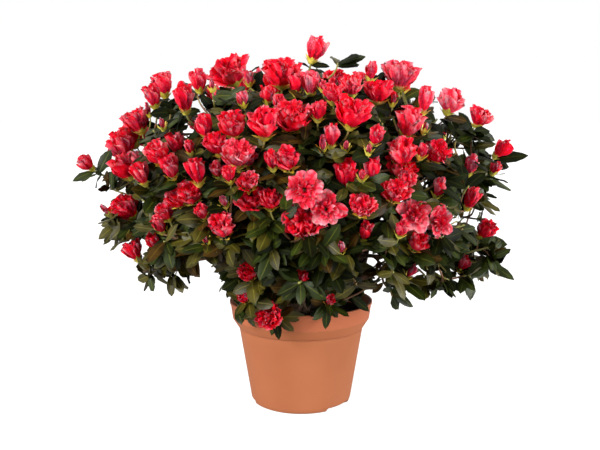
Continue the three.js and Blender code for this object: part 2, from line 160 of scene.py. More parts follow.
def tubes(paths, radii, sides, relief=None):
    # a ring of points round each path point, at the radius there, square to the path; the ends draw in
    tangents = unit(np.gradient(paths, axis=1))
    first, second = sideAxes(unit(paths[:, -1] - paths[:, 0]))
    first = unit(first[:, None] - tangents * (first[:, None] * tangents).sum(-1, keepdims=True))
    second = np.cross(tangents, first)
    angle = 2 * np.pi * np.arange(sides) / sides
    ring = first[:, :, None] * np.cos(angle)[:, None] + second[:, :, None] * np.sin(angle)[:, None]
    r = np.repeat(radii[:, :, None], sides, 2)
    if relief is not None:
        r = r * relief(np.linspace(0, 1, paths.shape[1])[None, :, None], angle[None, None, :])
    points = paths[:, :, None] + ring * r[..., None]
    ends = [paths[:, at, None] + ring[:, at] * axisGap for at in (slice(0, 1), slice(-1, None))]
    points = np.concatenate([ends[0], points, ends[1]], 1)
    return points, gridQuads(*points.shape[:3], ringed=True)


def together(parts):
    # several lots of points and quads as one
    starts = np.cumsum([0] + [p.size // 3 for p, _ in parts])
    points = np.concatenate([p.reshape(-1, 3) for p, _ in parts])
    return points, np.concatenate([q + start for (_, q), start in zip(parts, starts)])


def bezier(a, b, c, d, share):
    # the cubic curve through a and d that leaves towards b and comes in from c, at each share
    t = share[None, :, None]
    s = 1 - t
    return s**3 * a[:, None] + 3 * s * s * t * b[:, None] + 3 * s * t * t * c[:, None] + t**3 * d[:, None]


# Materials

def linear(hexColour):
    # an sRGB colour such as "c97f58" as the linear numbers that a shader takes
    c = np.array([int(hexColour[i:i + 2], 16) for i in (0, 2, 4)]) / 255
    c = np.where(c <= 0.04045, c / 12.92, ((c + 0.055) / 1.055) ** 2.4)
    return (*c.tolist(), 1.0)


class Finish:
    # a Principled material with a few helpers to join nodes
    def __init__(self, name, roughnessValue, **sockets):
        self.material = bpy.data.materials.new(name)
        self.material.use_nodes = True
        self.tree = self.material.node_tree
        self.shader = self.tree.nodes["Principled BSDF"]
        self.shader.inputs["Roughness"].default_value = roughnessValue
        for key, value in sockets.items():
            self.shader.inputs[key.replace("_", " ")].default_value = value

    def node(self, kind, **values):
        made = self.tree.nodes.new(kind)
        for key, value in values.items():
            if key in made.inputs:
                made.inputs[key].default_value = value
            else:
                setattr(made, key, value)
        return made

    def join(self, fromSocket, toSocket):
        self.tree.links.new(fromSocket, toSocket)

    def noise(self, scale, detail, stretch=(1, 1, 1), source="Object"):
        place = self.node("ShaderNodeTexCoord")
        mapping = self.node("ShaderNodeMapping", Scale=stretch)
        grain = self.node("ShaderNodeTexNoise", Scale=scale, Detail=detail)
        self.join(place.outputs[source], mapping.inputs["Vector"])
        self.join(mapping.outputs["Vector"], grain.inputs["Vector"])
        return grain.outputs["Fac"]

    def math(self, operation, a, b=None, clamp=False):
        made = self.node("ShaderNodeMath", operation=operation, use_clamp=clamp)
        for k, value in enumerate([a, b]):
            if isinstance(value, (int, float)):
                made.inputs[k].default_value = value
            elif value is not None:
                self.join(value, made.inputs[k])
        return made.outputs[0]

    def times(self, a, b, clamp=False):
        return self.math("MULTIPLY", a, b, clamp)

    def plus(self, a, b):
        return self.math("ADD", a, b)

    def less(self, a, b, clamp=False):
        return self.math("SUBTRACT", a, b, clamp)

    def split(self, vector):
        # the X, Y and Z of a vector socket
        made = self.node("ShaderNodeSeparateXYZ")
        self.join(vector, made.inputs["Vector"])
        return made.outputs

    def ramp(self, factor, stops):
        made = self.node("ShaderNodeValToRGB")
        bar = made.color_ramp.elements
        while len(bar) < len(stops):
            bar.new(0.5)
        for element, (place, colour) in zip(bar, stops):
            element.position = place
            element.color = linear(colour)
        self.join(factor, made.inputs["Fac"])
        return made.outputs["Color"]

    def blend(self, factor, a, b):
        made = self.node("ShaderNodeMix", data_type="RGBA")
        for socket, value in zip((made.inputs[0], made.inputs[6], made.inputs[7]), (factor, a, b)):
            if isinstance(value, str):
                socket.default_value = linear(value)
            elif isinstance(value, (int, float)):
                socket.default_value = value
            else:
                self.join(value, socket)
        return made.outputs[2]

    def bump(self, height, strength, distance):
        made = self.node("ShaderNodeBump", Strength=strength, Distance=distance)
        self.join(height, made.inputs["Height"])
        self.join(made.outputs["Normal"], self.shader.inputs["Normal"])

    def colour(self, socket):
        self.join(socket, self.shader.inputs["Base Color"])

    def rough(self, factor, low, high):
        spread = self.node("ShaderNodeMapRange")
        spread.inputs["To Min"].default_value = low
        spread.inputs["To Max"].default_value = high
        self.join(factor, spread.inputs["Value"])
        self.join(spread.outputs["Result"], self.shader.inputs["Roughness"])


# The crown's rule, with the source's own names and sizes

crown = {
    "centreZ": 262, "radius": 242, "top": 156, "under": 138, "squareness": 2.6,
    "edgeZ": 160, "innerRadius": 98, "innerZ": 140, "frontLift": 8,
}
rings = [  # the skirt, the middle, the upper part and the top
    {"count": 6, "rise": 2, "turn": 30, "boughZ": 140}, {"count": 6, "rise": 26, "turn": 0, "boughZ": 153},
    {"count": 5, "rise": 54, "turn": 20, "boughZ": 166}, {"count": 1, "rise": 90, "turn": 0, "boughZ": 178},
]
trunk = {
    "footZ": 110.3, "radius": 9.5, "flareRadius": 15, "flareHeight": 16, "lobes": 5, "lobeDepth": 0.22,
    "topZ": 178, "topRounding": 0.12, "lean": 3, "sides": 72, "steps": 70, "ridge": 0.07, "ridges": 11,
}
bough = {
    "baseRadius": 3.3, "tipRadius": 2.3, "reach": 0.4, "sunk": 3, "outTurn": 0.8, "sides": 16, "steps": 26,
    "ridge": 0.09, "ridges": 6,
}
stem = {
    "baseRadius": 2.2, "tipRadius": 1.5, "reach": 0.62, "branchSlope": 1.1, "first": 2, "last": 0.97,
    "steps": 13,
}
twig = {
    "baseRadius": 2.0, "tipRadius": 1.2, "pull": 0.3, "fineBase": 1.3, "fineTip": 0.9, "stalk": 0.8,
    "sides": 6, "steps": 10, "greenFrom": 6, "leastLeaves": 3, "finePull": 0.34, "joints": slice(2, 9),
    "straightness": 1.7, "shortest": 14, "shortCost": 200,
}
shootRule = {
    "count": 112, "downwardThinning": 1.04, "jitter": 0.3, "deepest": 34, "lift": 0.75, "liftUnder": 0.55,
    "sway": 0.25, "leastRoom": 8, "bloomLineZ": 205, "bloomShareAbove": 0.94, "bloomShareBelow": 0.16,
    "bloomSmallest": 38, "bloomLargest": 50, "heightShare": 0.82, "spare": 0.8,
}
firstSprig = 900  # the number of the first shoot that stands out of the dome
sprigs = [  # bearing, radius, height, upturn and bloom of each shoot that stands out of the dome
    (20, 20, 404, 3, 30), (181, 246, 282, 0.9, 22), (2, 236, 296, 1.2, 24), (345, 222, 176, -0.1, 0),
    (325, 185, 166, 0.2, 0), (352, 205, 170, 0, 0), (225, 108, 376, 1.4, 40),
]
fork = np.array([0.0, 0.0, 180.0])
view = {
    "place": (-0.0012, -0.956, 0.341), "pitch": 7.67, "lens": 48.9, "sensor": 36, "columns": 600, "rows": 450,
}
cameraPlace = np.array(view["place"]) / mm
cameraAhead = np.array([0, np.cos(np.radians(view["pitch"])), -np.sin(np.radians(view["pitch"]))])
cameraUp = np.array([0, -cameraAhead[2], cameraAhead[1]])
focus = view["lens"] / view["sensor"] * view["columns"]


def sightLine(column, row):
    # the way from the camera through that point of the picture, one unit deep
    across, down = (column - view["columns"] / 2) / focus, (row - view["rows"] / 2) / focus
    return cameraAhead + np.array([across, 0, 0]) - cameraUp * down


def domeMeasure(p):
    # ((r / radius)^k + (|z - centre| / half)^k)^(1/k), which is 1 on the dome
    half = np.where(p[..., 2] > crown["centreZ"], crown["top"], crown["under"])
    k = crown["squareness"]
    r = np.hypot(p[..., 0], p[..., 1])
    return ((r / crown["radius"]) ** k + (np.abs(p[..., 2] - crown["centreZ"]) / half) ** k) ** (1 / k)


def domeNormal(p):
    # the way in which the measure grows fastest, by differences of a millimetre
    return unit(domeMeasure(p + np.eye(3)) - domeMeasure(p - np.eye(3)))


hideRule = {  # how near a look through the dome comes, how deep it runs, and what a nearer bloom covers
    "short": 28, "looks": 60, "depth": 0.84, "ahead": 8, "nearShare": 0.46, "ownShare": 0.25,
    "turned": -0.30, "turnedUnder": 335,
}


def hiddenFromCamera(p):
    # true where the sight line to p runs through the dome well before it gets there
    way = p - cameraPlace
    reach = np.linspace(0.5, 1 - hideRule["short"] / np.linalg.norm(way), hideRule["looks"])
    return domeMeasure(cameraPlace + way * reach[:, None]).min() < hideRule["depth"]


def behindSeen(p, size):
    # true where one of the photograph's blooms stands nearer on the sight line and covers a bloom's middle p
    gap = p - seenPlaces
    nearer = unit(cameraPlace - p)
    ahead = -gap @ nearer
    aside = np.linalg.norm(gap + ahead[:, None] * nearer, axis=1)
    covers = aside < hideRule["nearShare"] * seenSizes - hideRule["ownShare"] * size
    return bool(((ahead > hideRule["ahead"]) & covers).any())


def onBloom(shoot, share):
    # the point that far up the shoot's bloom
    return shoot["tip"] + shoot["axis"] * shoot["rise"] * share


def mayBloom(shoot):
    # a bloom of the rule stands only where it leaves the photograph's view nearly as it is: behind the dome,
    # behind one of the photograph's blooms, or on the side where the surface turns away
    top, middle = onBloom(shoot, 1), onBloom(shoot, 0.5)
    turned = domeNormal(middle) @ unit(cameraPlace - middle) < hideRule["turned"]
    away = turned and shoot["z"] < hideRule["turnedUnder"]
    return away or (hiddenFromCamera(top) and hiddenFromCamera(middle)) or behindSeen(middle, shoot["size"])


def crownProfile(steps):
    # r = radius |cos a|^q and z = centre + half sign(a)|sin a|^q from the top down to the cut edge, then a
    # straight run in to the rim; the third array is the area above each point
    power = 2 / crown["squareness"]
    lowest = -np.arcsin(((crown["centreZ"] - crown["edgeZ"]) / crown["under"]) ** (1 / power))
    angle = np.linspace(np.pi / 2, lowest, steps + 1)
    half = np.where(angle > 0, crown["top"], crown["under"])
    r = crown["radius"] * np.abs(np.cos(angle)) ** power
    z = crown["centreZ"] + half * np.sign(angle) * np.abs(np.sin(angle)) ** power
    share = np.arange(1, 21) / 20
    r = np.concatenate([r, mix(r[-1], crown["innerRadius"], share)])
    z = np.concatenate([z, mix(z[-1], crown["innerZ"], share)])
    strip = (r[1:] + r[:-1]) / 2 * np.hypot(np.diff(r), np.diff(z))
    return r, z, np.concatenate([[0], np.cumsum(strip)])


def profileAt(rows, share):
    # the profile's point with the given share of the area above it, and the way out from there
    r, z, area = rows
    wanted = share * area[-1]
    i = max(1, int(np.argmax(area >= wanted)))
    t = (wanted - area[i - 1]) / (area[i] - area[i - 1])
    across, up = r[i] - r[i - 1], z[i] - z[i - 1]
    length = np.hypot(across, up)
    return r[i - 1] + across * t, z[i - 1] + up * t, -up / length, across / length


def massList():
    # each foliage mass: its aim from the fork, and how far the dome reaches along it by halving
    masses = []
    for ring in rings:
        for k in range(ring["count"]):
            bearing = np.radians(ring["turn"] + 360 * k / ring["count"])
            rise = np.radians(ring["rise"])
            aim = around(bearing, np.cos(rise), np.sin(rise))
            near, far = 0.0, 2.0 * crown["radius"]
            for _ in range(30):
                middle = (near + far) / 2
                if domeMeasure(fork + aim * middle) < 1:
                    near = middle
                else:
                    far = middle
            masses.append({"ring": ring, "bearing": bearing, "aim": aim, "reach": near})
    for mass in masses:
        mass["borders"] = [unit(mass["aim"] - other["aim"]) for other in masses if other is not mass]
    return masses


masses = massList()
aims = np.array([mass["aim"] for mass in masses])


def swayOf(index, most):
    # a sideways lean by the shoot's rolls
    return around(2 * np.pi * roll(index, 5), most * roll(index, 6), 0)


def placedShoot(index, surface, outward, up, depth, bloomSize, leastRoom):
    # axis = outward + up + sway; the tip lies under the surface by the depth and the bloom's height, and is
    # stepped in from the borders of its mass
    axis = unit(outward + np.array([0, 0, up]) + swayOf(index, shootRule["sway"]))
    height = bloomSize * shootRule["heightShare"]
    tip = surface - outward * depth - axis * height
    mass = int(np.argmax(aims @ unit(tip - fork)))
    room = max(bloomSize / 2, leastRoom) + shootRule["spare"]
    for _ in range(3):
        for border in masses[mass]["borders"]:
            centre = tip + axis * height / 2 - fork
            tip = tip + border * max(0, room - centre @ border)
    return {"index": index, "tip": tip, "axis": axis, "bloom": bloomSize, "height": height, "mass": mass}


def domeShoot(index, share, bearing, depth, bloomSize, leastRoom):
    # a shoot where the profile has that share of the crown above it
    r, z, outR, outZ = profileAt(profileRows, share)
    low = np.clip((crown["centreZ"] - z) / (crown["centreZ"] - crown["edgeZ"]), 0, 1)
    outness = np.clip((r - crown["innerRadius"]) / crown["innerRadius"], 0, 1)
    frontness = max(0, -np.sin(bearing)) ** 2
    surface = around(bearing, r, z + crown["frontLift"] * frontness * low * outness)
    lift = shootRule["liftUnder" if outZ < 0 and z < crown["edgeZ"] else "lift"]
    made = placedShoot(index, surface, around(bearing, outR, outZ), lift, depth, bloomSize, leastRoom)
    return {**made, "z": z}


profileRows = crownProfile(200)
golden = np.pi * (3 - np.sqrt(5))


def mainShoots():
    # the source's own shoots: a golden spiral down the crown, and then the sprigs
    made = []
    for i in range(shootRule["count"]):
        share = ((i + 0.5) / shootRule["count"]) ** shootRule["downwardThinning"]
        bearing = i * golden + shootRule["jitter"] * (roll(i, 1) - 0.5)
        z = profileAt(profileRows, share)[1]
        bloomShare = shootRule["bloomShareAbove" if z > shootRule["bloomLineZ"] else "bloomShareBelow"]
        spread = shootRule["bloomLargest"] - shootRule["bloomSmallest"]
        size = shootRule["bloomSmallest"] + spread * roll(i, 3) if roll(i, 2) < bloomShare else 0
        depth = shootRule["deepest"] * roll(i, 4) ** 2
        made.append(domeShoot(i, share, bearing, depth, size, shootRule["leastRoom"]))
    for k, (bearing, radius, z, up, size) in enumerate(sprigs):
        angle = np.radians(bearing)
        surface, outward = around(angle, radius, z), around(angle, 1, 0)
        base = surface + unit(outward + np.array([0, 0, up])) * size * shootRule["heightShare"]
        shoot = placedShoot(firstSprig + k, base, outward, up, 0, size, shootRule["leastRoom"])
        made.append({**shoot, "z": z})
    return made


# Finer shoots, which the source leaves out: a second, closer spiral over the same crown
fineRule = {
    "first": 2000, "count": 480, "start": 1.3, "bloomDepth": 20, "leafDepth": (10, 50), "spacing": 0.80,
    "leastRoom": 2, "givenWay": 4,
    "heights": (150, 205, 222, 250, 325, 352, 400),  # shares of blooms and of buds at these heights
    "bloomShares": (0.02, 0.05, 0.34, 0.86, 0.88, 0.84, 0.84),
    "budShares": (0.10, 0.10, 0.12, 0.07, 0.07, 0.07, 0.07),
}
innerRule = {  # leafy shoots deep in the crown
    "first": 4000, "count": 205, "upwards": 1.25, "lowest": 0.93, "start": 0.4, "depth": (52, 118),
    "leastRoom": 2,
}
collarRule = {
    "first": 5000, "count": 60, "radius": (42, 84), "z": (157, 149), "uneven": 8, "up": (0.5, 0.15),
}
rimFirst = 5500  # the number of the first shoot that hangs over the rim
rimSprigs = [  # bearing, radius, height, upturn, kind and bloom width of the shoots that hang over the rim
    (253, 97, 125, 0.25, "cup", 27), (222, 96, 128, -0.3, "leafy", 0), (288, 94, 139, 0.6, "small", 13),
    (253, 170, 181, 0.7, "small", 19), (242, 122, 146, 0.6, "small", 15), (232, 92, 134, -0.5, "leafy", 0),
]
bloomKinds = {  # share of blooms, least and greatest width, height over width
    "small": {"share": 0.30, "least": 16, "most": 24, "tall": 1.00},
    "cup": {"share": 0.38, "least": 24, "most": 31, "tall": 0.92},
    "globe": {"share": 0.27, "least": 29, "most": 36, "tall": 0.84},
    "open": {"share": 0.05, "least": 38, "most": 45, "tall": 0.55},
    "long": {"share": 0.0, "least": 16, "most": 24, "tall": 1.35},
    "bud": {"share": 0.0, "least": 8, "most": 13, "tall": 1.45},
}
sprigBlooms = {  # kind and width of the bloom on each standing sprig, and how far it stands from the source's
    0: ("small", 28, (-8, 0, -5)), 1: ("small", 18, (2, 0, -4)), 2: ("long", 19, (-8, 0, -5)),
    3: ("small", 20, (0, 0, 0)), 6: ("globe", 34, (12, 0, -8)),
}
topSprig = 6095  # the leafy shoot that is seen above the crown's top, row 95 of seenBlooms
singleLeaves = [  # leaves that stand alone: number of their shoot, way and length
    (firstSprig, (0.9, -0.6, 0.1), 24), (firstSprig, (0.8, -0.5, -0.5), 20),
    (firstSprig, (-0.9, -0.4, -0.2), 14),
    (firstSprig + 1, (-1.0, -0.25, -0.3), 29), (firstSprig + 1, (0.7, -0.8, -0.2), 15),
    (topSprig, (0.9, -0.3, 0.42), 31), (firstSprig + 2, (1.0, -0.2, 0.25), 42),
    (firstSprig + 3, (0.9, -0.7, -0.5), 32),
    (rimFirst + 2, (-0.75, -0.35, -0.5), 23), (rimFirst + 2, (0.02, -0.35, -1.0), 28),
    (rimFirst, (0.15, -0.4, -1.0), 26), (rimFirst, (-0.25, -0.3, -1.0), 22),
]
# The blooms in the photograph: column, row and width in its points, and kind. Those of the standing sprigs
# and those over the rim are in their own lists
seenBlooms = [
    (163, 87, 24, "cup"), (153, 98, 21, "small"), (184, 99, 22, "long"), (199, 83, 21, "small"),
    (249, 79, 13, "small"), (282, 75, 33, "globe"), (212, 85, 8, "bud"), (138, 123, 24, "cup"),
    (268, 96, 16, "small"), (124, 146, 27, "cup"), (125, 169, 25, "cup"), (141, 174, 18, "long"),
    (158, 155, 23, "cup"), (175, 144, 17, "long"), (170, 169, 22, "small"), (190, 148, 13, "small"),
    (205, 128, 22, "small"), (216, 146, 22, "cup"), (233, 127, 27, "cup"), (264, 126, 30, "cup"),
    (238, 156, 27, "cup"), (197, 172, 21, "long"), (217, 171, 14, "small"), (229, 176, 15, "small"),
    (288, 161, 25, "globe"), (272, 161, 14, "long"), (279, 104, 16, "small"), (291, 119, 35, "globe"),
    (178, 199, 19, "globe"), (192, 194, 25, "globe"), (252, 199, 27, "globe"), (270, 201, 20, "cup"),
    (248, 183, 19, "globe"), (127, 209, 27, "cup"), (106, 210, 9, "bud"), (166, 213, 18, "cup"),
    (160, 226, 17, "small"), (202, 213, 15, "small"), (222, 228, 26, "cup"), (133, 251, 16, "long"),
    (154, 242, 14, "small"), (206, 240, 7, "bud"), (224, 201, 10, "bud"), (296, 84, 17, "long"),
    (311, 85, 17, "long"), (323, 86, 10, "small"), (333, 95, 20, "cup"), (351, 87, 21, "cup"),
    (371, 73, 17, "small"), (378, 93, 27, "globe"), (400, 77, 33, "globe"), (425, 101, 20, "long"),
    (352, 115, 32, "cup"), (318, 112, 19, "small"), (450, 104, 25, "cup"), (479, 118, 22, "globe"),
    (409, 125, 30, "cup"), (376, 137, 18, "small"), (332, 136, 18, "long"), (323, 144, 11, "bud"),
    (436, 153, 23, "globe"), (422, 152, 14, "small"), (402, 154, 27, "cup"), (401, 168, 26, "globe"),
    (471, 165, 16, "long"), (495, 169, 12, "small"), (345, 176, 22, "long"), (371, 171, 19, "long"),
    (362, 176, 9, "small"), (395, 193, 23, "globe"), (406, 181, 18, "globe"), (439, 188, 15, "long"),
    (471, 199, 17, "long"), (362, 208, 22, "globe"), (365, 232, 14, "long"), (341, 248, 11, "bud"),
    (304, 189, 33, "open"), (326, 209, 30, "open"), (303, 226, 33, "globe"), (415, 214, 31, "open"),
    (440, 223, 27, "open"), (401, 230, 15, "small"), (417, 243, 20, "cup"), (485, 231, 19, "cup"),
    (463, 264, 12, "long"), (411, 272, 11, "bud"), (162, 124, 8, "bud"), (425, 128, 7, "bud"),
    (346, 146, 8, "bud"), (369, 149, 7, "bud"), (243, 100, 14, "small"), (148, 110, 9, "bud"),
    (259, 74, 9, "bud"), (393, 100, 8, "bud"), (302, 279, 14, "small"), (338, 63, 0, "leafy"),
    (108, 187, 0, "leafy"), (115, 228, 0, "leafy"), (148, 276, 0, "leafy"), (492, 259, 0, "leafy"),
    (471, 277, 0, "leafy"), (428, 286, 0, "leafy"), (392, 296, 0, "leafy"), (170, 276, 0, "leafy"),
]
seenRule = {  # how upright each kind stands, and how far under the dome's surface the blooms' middles lie
    "first": 6000, "upright": {"small": 2.0, "long": 2.2, "cup": 1.8, "globe": 1.4, "open": 0.2, "bud": 1.6,
                               "leafy": 0.5},
    "toCamera": {"open": 1.2, "globe": 0.2}, "levels": (0.86, 0.95), "sway": 0.25, "grazing": 0.80,
    "fuller": (1.02, 0.97), "fullerZ": (310, 360), "reach": (500, 1400, 1.5),
}
skyWindows = [  # column, row and radius of small gaps through which the photograph shows the sky
    (190, 123, 4), (198, 103, 4), (204, 111, 4), (211, 97, 3), (157, 119, 4), (146, 149, 3), (185, 135, 3),
    (436, 114, 4), (440, 121, 3), (414, 97, 2), (392, 120, 3), (449, 137, 4), (459, 150, 5), (425, 184, 5),
    (405, 203, 5), (454, 220, 6), (467, 218, 5), (470, 209, 4), (478, 210, 4), (383, 218, 3), (370, 256, 7),
    (377, 262, 5), (381, 266, 4), (384, 280, 4), (401, 249, 2), (424, 274, 3), (439, 273, 3), (456, 276, 4),
    (246, 218, 2), (124, 190, 3), (203, 264, 6), (213, 268, 4), (204, 275, 6), (196, 282, 5), (212, 281, 5),
    (126, 106, 4), (122, 268, 9), (126, 279, 7), (88, 222, 5), (98, 203, 6), (134, 102, 3), (513, 173, 4),
    (230, 316, 6), (227, 306, 4), (377, 304, 5), (142, 242, 4), (146, 249, 3),
]
outline = {  # extra millimetres of depth where the real crown is slimmer than an even dome
    "left": 8, "shoulder": 4, "shoulderFrom": (300, 370), "shoulderTo": (375, 395), "skirt": 13,
    "skirtZ": (200, 170), "right": 9, "top": 8, "topZ": (350, 400), "leafy": 10, "leafyFrom": 240,
}
# A rule's bloom under the bloom line, which lies higher in front, is small or a bud
belowLine = {"frontZ": 226, "front": 1.3, "smallShare": 0.35}


def slimming(bearing, z):
    # how much further in a shoot ends: more on the left, on its shoulder and skirt, and round the top
    left, right = max(0, -np.cos(bearing)), max(0, np.cos(bearing))
    onShoulder = between(z, *outline["shoulderFrom"]), 1 - between(z, *outline["shoulderTo"])
    shoulder = outline["shoulder"] * onShoulder[0] * onShoulder[1]
    skirt = outline["skirt"] * between(z, *outline["skirtZ"])
    sides = left * (outline["left"] + shoulder + skirt) + right * outline["right"]
    return sides + outline["top"] * between(z, *outline["topZ"])


def leftLeafy(shoot):
    # the shoot with leaves only
    shoot.update(kind="leafy", size=0.0, rise=0.0)
    return shoot


def dressShoot(shoot, wanted):
    # the bloom that the shoot really carries, its top a little under the top of the source's bloom
    if wanted == "leafy":
        return leftLeafy(shoot)
    index, kind = shoot["index"], wanted
    if wanted == "bloom":
        pick = roll(index, 31)
        for name, numbers in bloomKinds.items():
            kind = name
            pick -= numbers["share"]
            if pick < 0:
                break
        front = max(0, -shoot["axis"][1]) * belowLine["front"]
        if shoot["z"] < mix(shootRule["bloomLineZ"], belowLine["frontZ"], min(1, front)):
            kind = "small" if roll(index, 34) < belowLine["smallShare"] else "bud"
    sizes = bloomKinds[kind]
    size = mix(sizes["least"], sizes["most"], roll(index, 32))
    if firstSprig <= index < fineRule["first"] and shoot["bloom"] > 0:
        size = min(size, shoot["bloom"] * 0.95)
    shoot.update(kind=kind, size=size, rise=size * sizes["tall"])
    if shoot["bloom"] > 0:
        shoot["tip"] = shoot["tip"] + shoot["axis"] * (shoot["height"] - shoot["rise"]) * 0.5
    return shoot


def fineShoots(main):
    # each takes a bloom, a bud or only leaves by its roll; a bloom too near another gives way to leaves
    taken = [(onBloom(s, 0.5), s["size"]) for s in main if s["size"] > 0]
    made = []
    for j in range(fineRule["count"]):
        index = fineRule["first"] + j
        share = ((j + 0.5) / fineRule["count"]) ** shootRule["downwardThinning"]
        bearing = fineRule["start"] + j * golden + shootRule["jitter"] * (roll(index, 1) - 0.5)
        z = profileAt(profileRows, share)[1]
        blooms = np.interp(z, fineRule["heights"], fineRule["bloomShares"])
        buds = np.interp(z, fineRule["heights"], fineRule["budShares"])
        pick = roll(index, 2)
        wanted = "bloom" if pick < blooms else "bud" if pick < blooms + buds else "leafy"
        leafDepth = mix(*fineRule["leafDepth"], roll(index, 4) ** 1.2)
        depth = leafDepth if wanted == "leafy" else fineRule["bloomDepth"] * roll(index, 4) ** 1.5
        depth += slimming(bearing, z)
        shoot = dressShoot(domeShoot(index, share, bearing, depth, 0, fineRule["leastRoom"]), wanted)
        shoot["tip"] = shoot["tip"] - shoot["axis"] * shoot["rise"]
        centre, own = onBloom(shoot, 0.5), shoot["size"]
        gaps = [np.linalg.norm(centre - c) - fineRule["spacing"] * (own + size) / 2 for c, size in taken]
        if own > 0 and (min(gaps) < 0 or not mayBloom(shoot)):
            shoot["tip"] = shoot["tip"] - shoot["axis"] * fineRule["givenWay"]
            leftLeafy(shoot)
        if shoot["size"] > 0:
            taken.append((centre, own))
        made.append(shoot)
    return made


def innerShoots():
    # the same spiral well under the surface, with leaves only, so that little sky shows through
    made = []
    for j in range(innerRule["count"]):
        index = innerRule["first"] + j
        share = ((j + 0.5) / innerRule["count"]) ** innerRule["upwards"] * innerRule["lowest"]
        depth = mix(*innerRule["depth"], roll(index, 4))
        bearing = innerRule["start"] + j * golden
        made.append(leftLeafy(domeShoot(index, share, bearing, depth, 0, innerRule["leastRoom"])))
    return made


def freeShoot(index, tip, axis, kind, size):
    # a shoot that stands where it is told, whatever mass it lies in
    rise = size * bloomKinds[kind]["tall"] if size > 0 else 0.0
    return {"index": index, "tip": tip, "axis": axis, "kind": kind, "size": float(size), "rise": rise}


def collarShoots():
    # a flat spiral over the pot's mouth, turning down towards the rim, and the sprigs that hang over it
    made = []
    for j in range(collarRule["count"]):
        index = collarRule["first"] + j
        share = (j + 0.5) / collarRule["count"]
        radius = mix(*collarRule["radius"], np.sqrt(share))
        z = mix(*collarRule["z"], share) + collarRule["uneven"] * (roll(index, 4) - 0.5)
        axis = unit(around(j * golden, 1, 0) + upZ * mix(*collarRule["up"], share))
        made.append(freeShoot(index, around(j * golden, radius, z), axis, "leafy", 0))
    for k, (bearing, radius, z, up, kind, size) in enumerate(rimSprigs):
        angle = np.radians(bearing)
        axis = unit(around(angle, 1, 0) + upZ * up)
        made.append(freeShoot(rimFirst + k, around(angle, radius, z), axis, kind, size))
    return made


def seenShoots():
    # each bloom stands where its sight line first comes that far into the dome, or else nearest to it; on a
    # line that only grazes the dome it stands anywhere between there and where the line leaves it again
    made = []
    reach = np.arange(*seenRule["reach"])
    for k, (column, row, width, kind) in enumerate(seenBlooms):
        index = seenRule["first"] + k
        places = cameraPlace + sightLine(column, row) * reach[:, None]
        measure = domeMeasure(places)
        inside = measure < mix(*seenRule["levels"], roll(index, 4))
        at = int(np.argmax(inside)) if inside.any() else int(np.argmin(measure))
        if inside.any() and measure.min() > seenRule["grazing"]:
            at += int((np.flatnonzero(inside)[-1] - at) * roll(index, 7))
        centre = places[at]
        fuller = mix(*seenRule["fuller"], between(centre[2], *seenRule["fullerZ"]))
        toCamera = seenRule["toCamera"].get(kind, 0) * unit(cameraPlace - centre)
        upright = upZ * seenRule["upright"][kind]
        axis = unit(domeNormal(centre) + upright + toCamera + swayOf(index, seenRule["sway"]))
        shoot = freeShoot(index, centre, axis, kind, width * reach[at] / focus * fuller)
        shoot["tip"] = centre - axis * shoot["rise"] / 2
        made.append(shoot)
    return made


def throughWindow(p, spare):
    # true for points that project into one of the sky windows, or within the spare millimetres of it
    offset = p - cameraPlace
    depth = offset @ cameraAhead
    found = np.zeros(np.shape(depth), bool)
    for column, row, radius in skyWindows:
        aside = offset - sightLine(column, row) * depth[..., None]
        found |= np.linalg.norm(aside, axis=-1) < radius * depth / focus + spare
    return found


seen = seenShoots()
seenPlaces = np.array([onBloom(s, 0.5) for s in seen if s["size"] > 0])
seenSizes = np.array([s["size"] for s in seen if s["size"] > 0])
main = [dressShoot(s, "bloom" if s["bloom"] > 0 else "leafy") for s in mainShoots()]
for s in main:
    inwards = unit(s["tip"] - fork)
    bearing = np.arctan2(s["tip"][1], s["tip"][0])
    if s["index"] < firstSprig:
        if s["size"] > 0 and not mayBloom(s):
            leftLeafy(s)
        further = outline["leafy"] if s["kind"] == "leafy" and s["z"] > outline["leafyFrom"] else 0
        s["tip"] = s["tip"] - inwards * (slimming(bearing, s["z"]) + further)
    elif s["bloom"] > 0:
        s["kind"], s["size"], moved = sprigBlooms[s["index"] - firstSprig]
        s["rise"] = s["size"] * bloomKinds[s["kind"]]["tall"]
        s["tip"] = s["tip"] + np.array(moved, float)
fine = fineShoots(main) + innerShoots() + collarShoots() + seen


twinRule = {
    "share": 0.34, "smallShare": 0.55, "lean": 0.85, "rootDepth": 7, "aside": 0.36, "lower": 0.1,
    "kinds": ("cup", "globe", "small"),
}


def twinBlooms(shoots):
    # beside some blooms a smaller one or a bud on the same shoot, leaning away from it
    made = []
    for s in shoots:
        ofRule = s["kind"] in twinRule["kinds"] and s["index"] < collarRule["first"]
        if not ofRule or roll(s["index"], 120) > twinRule["share"]:
            continue
        index = s["index"] + 0.5
        side, other = sideAxes(s["axis"])
        turn = 2 * np.pi * roll(index, 121)
        away = side * np.cos(turn) + other * np.sin(turn)
        kind = "small" if roll(index, 122) < twinRule["smallShare"] else "bud"
        size = mix(bloomKinds[kind]["least"], bloomKinds[kind]["most"], roll(index, 123))
        lower = s["axis"] * (1 - twinRule["lower"] * s["size"])
        tip = s["tip"] + away * (twinRule["aside"] * s["size"]) + lower
        twin = freeShoot(index, tip, unit(s["axis"] + away * twinRule["lean"]), kind, size)
        made.append({**twin, "root": s["tip"] - s["axis"] * twinRule["rootDepth"]})
    return made


twins = twinBlooms(main + fine)
bloomNames = ("small", "long", "cup", "globe", "open")
shoots = main + fine
for s in shoots:
    ofRule = s["size"] > 0 and s["index"] < seenRule["first"]
    if ofRule and throughWindow(onBloom(s, 0.5), s["size"] / 2):
        leftLeafy(s)
print("shoots:", len(main), "main,", len(fine), "fine,",
      sum(s["kind"] in bloomNames for s in shoots + twins), "blooms")


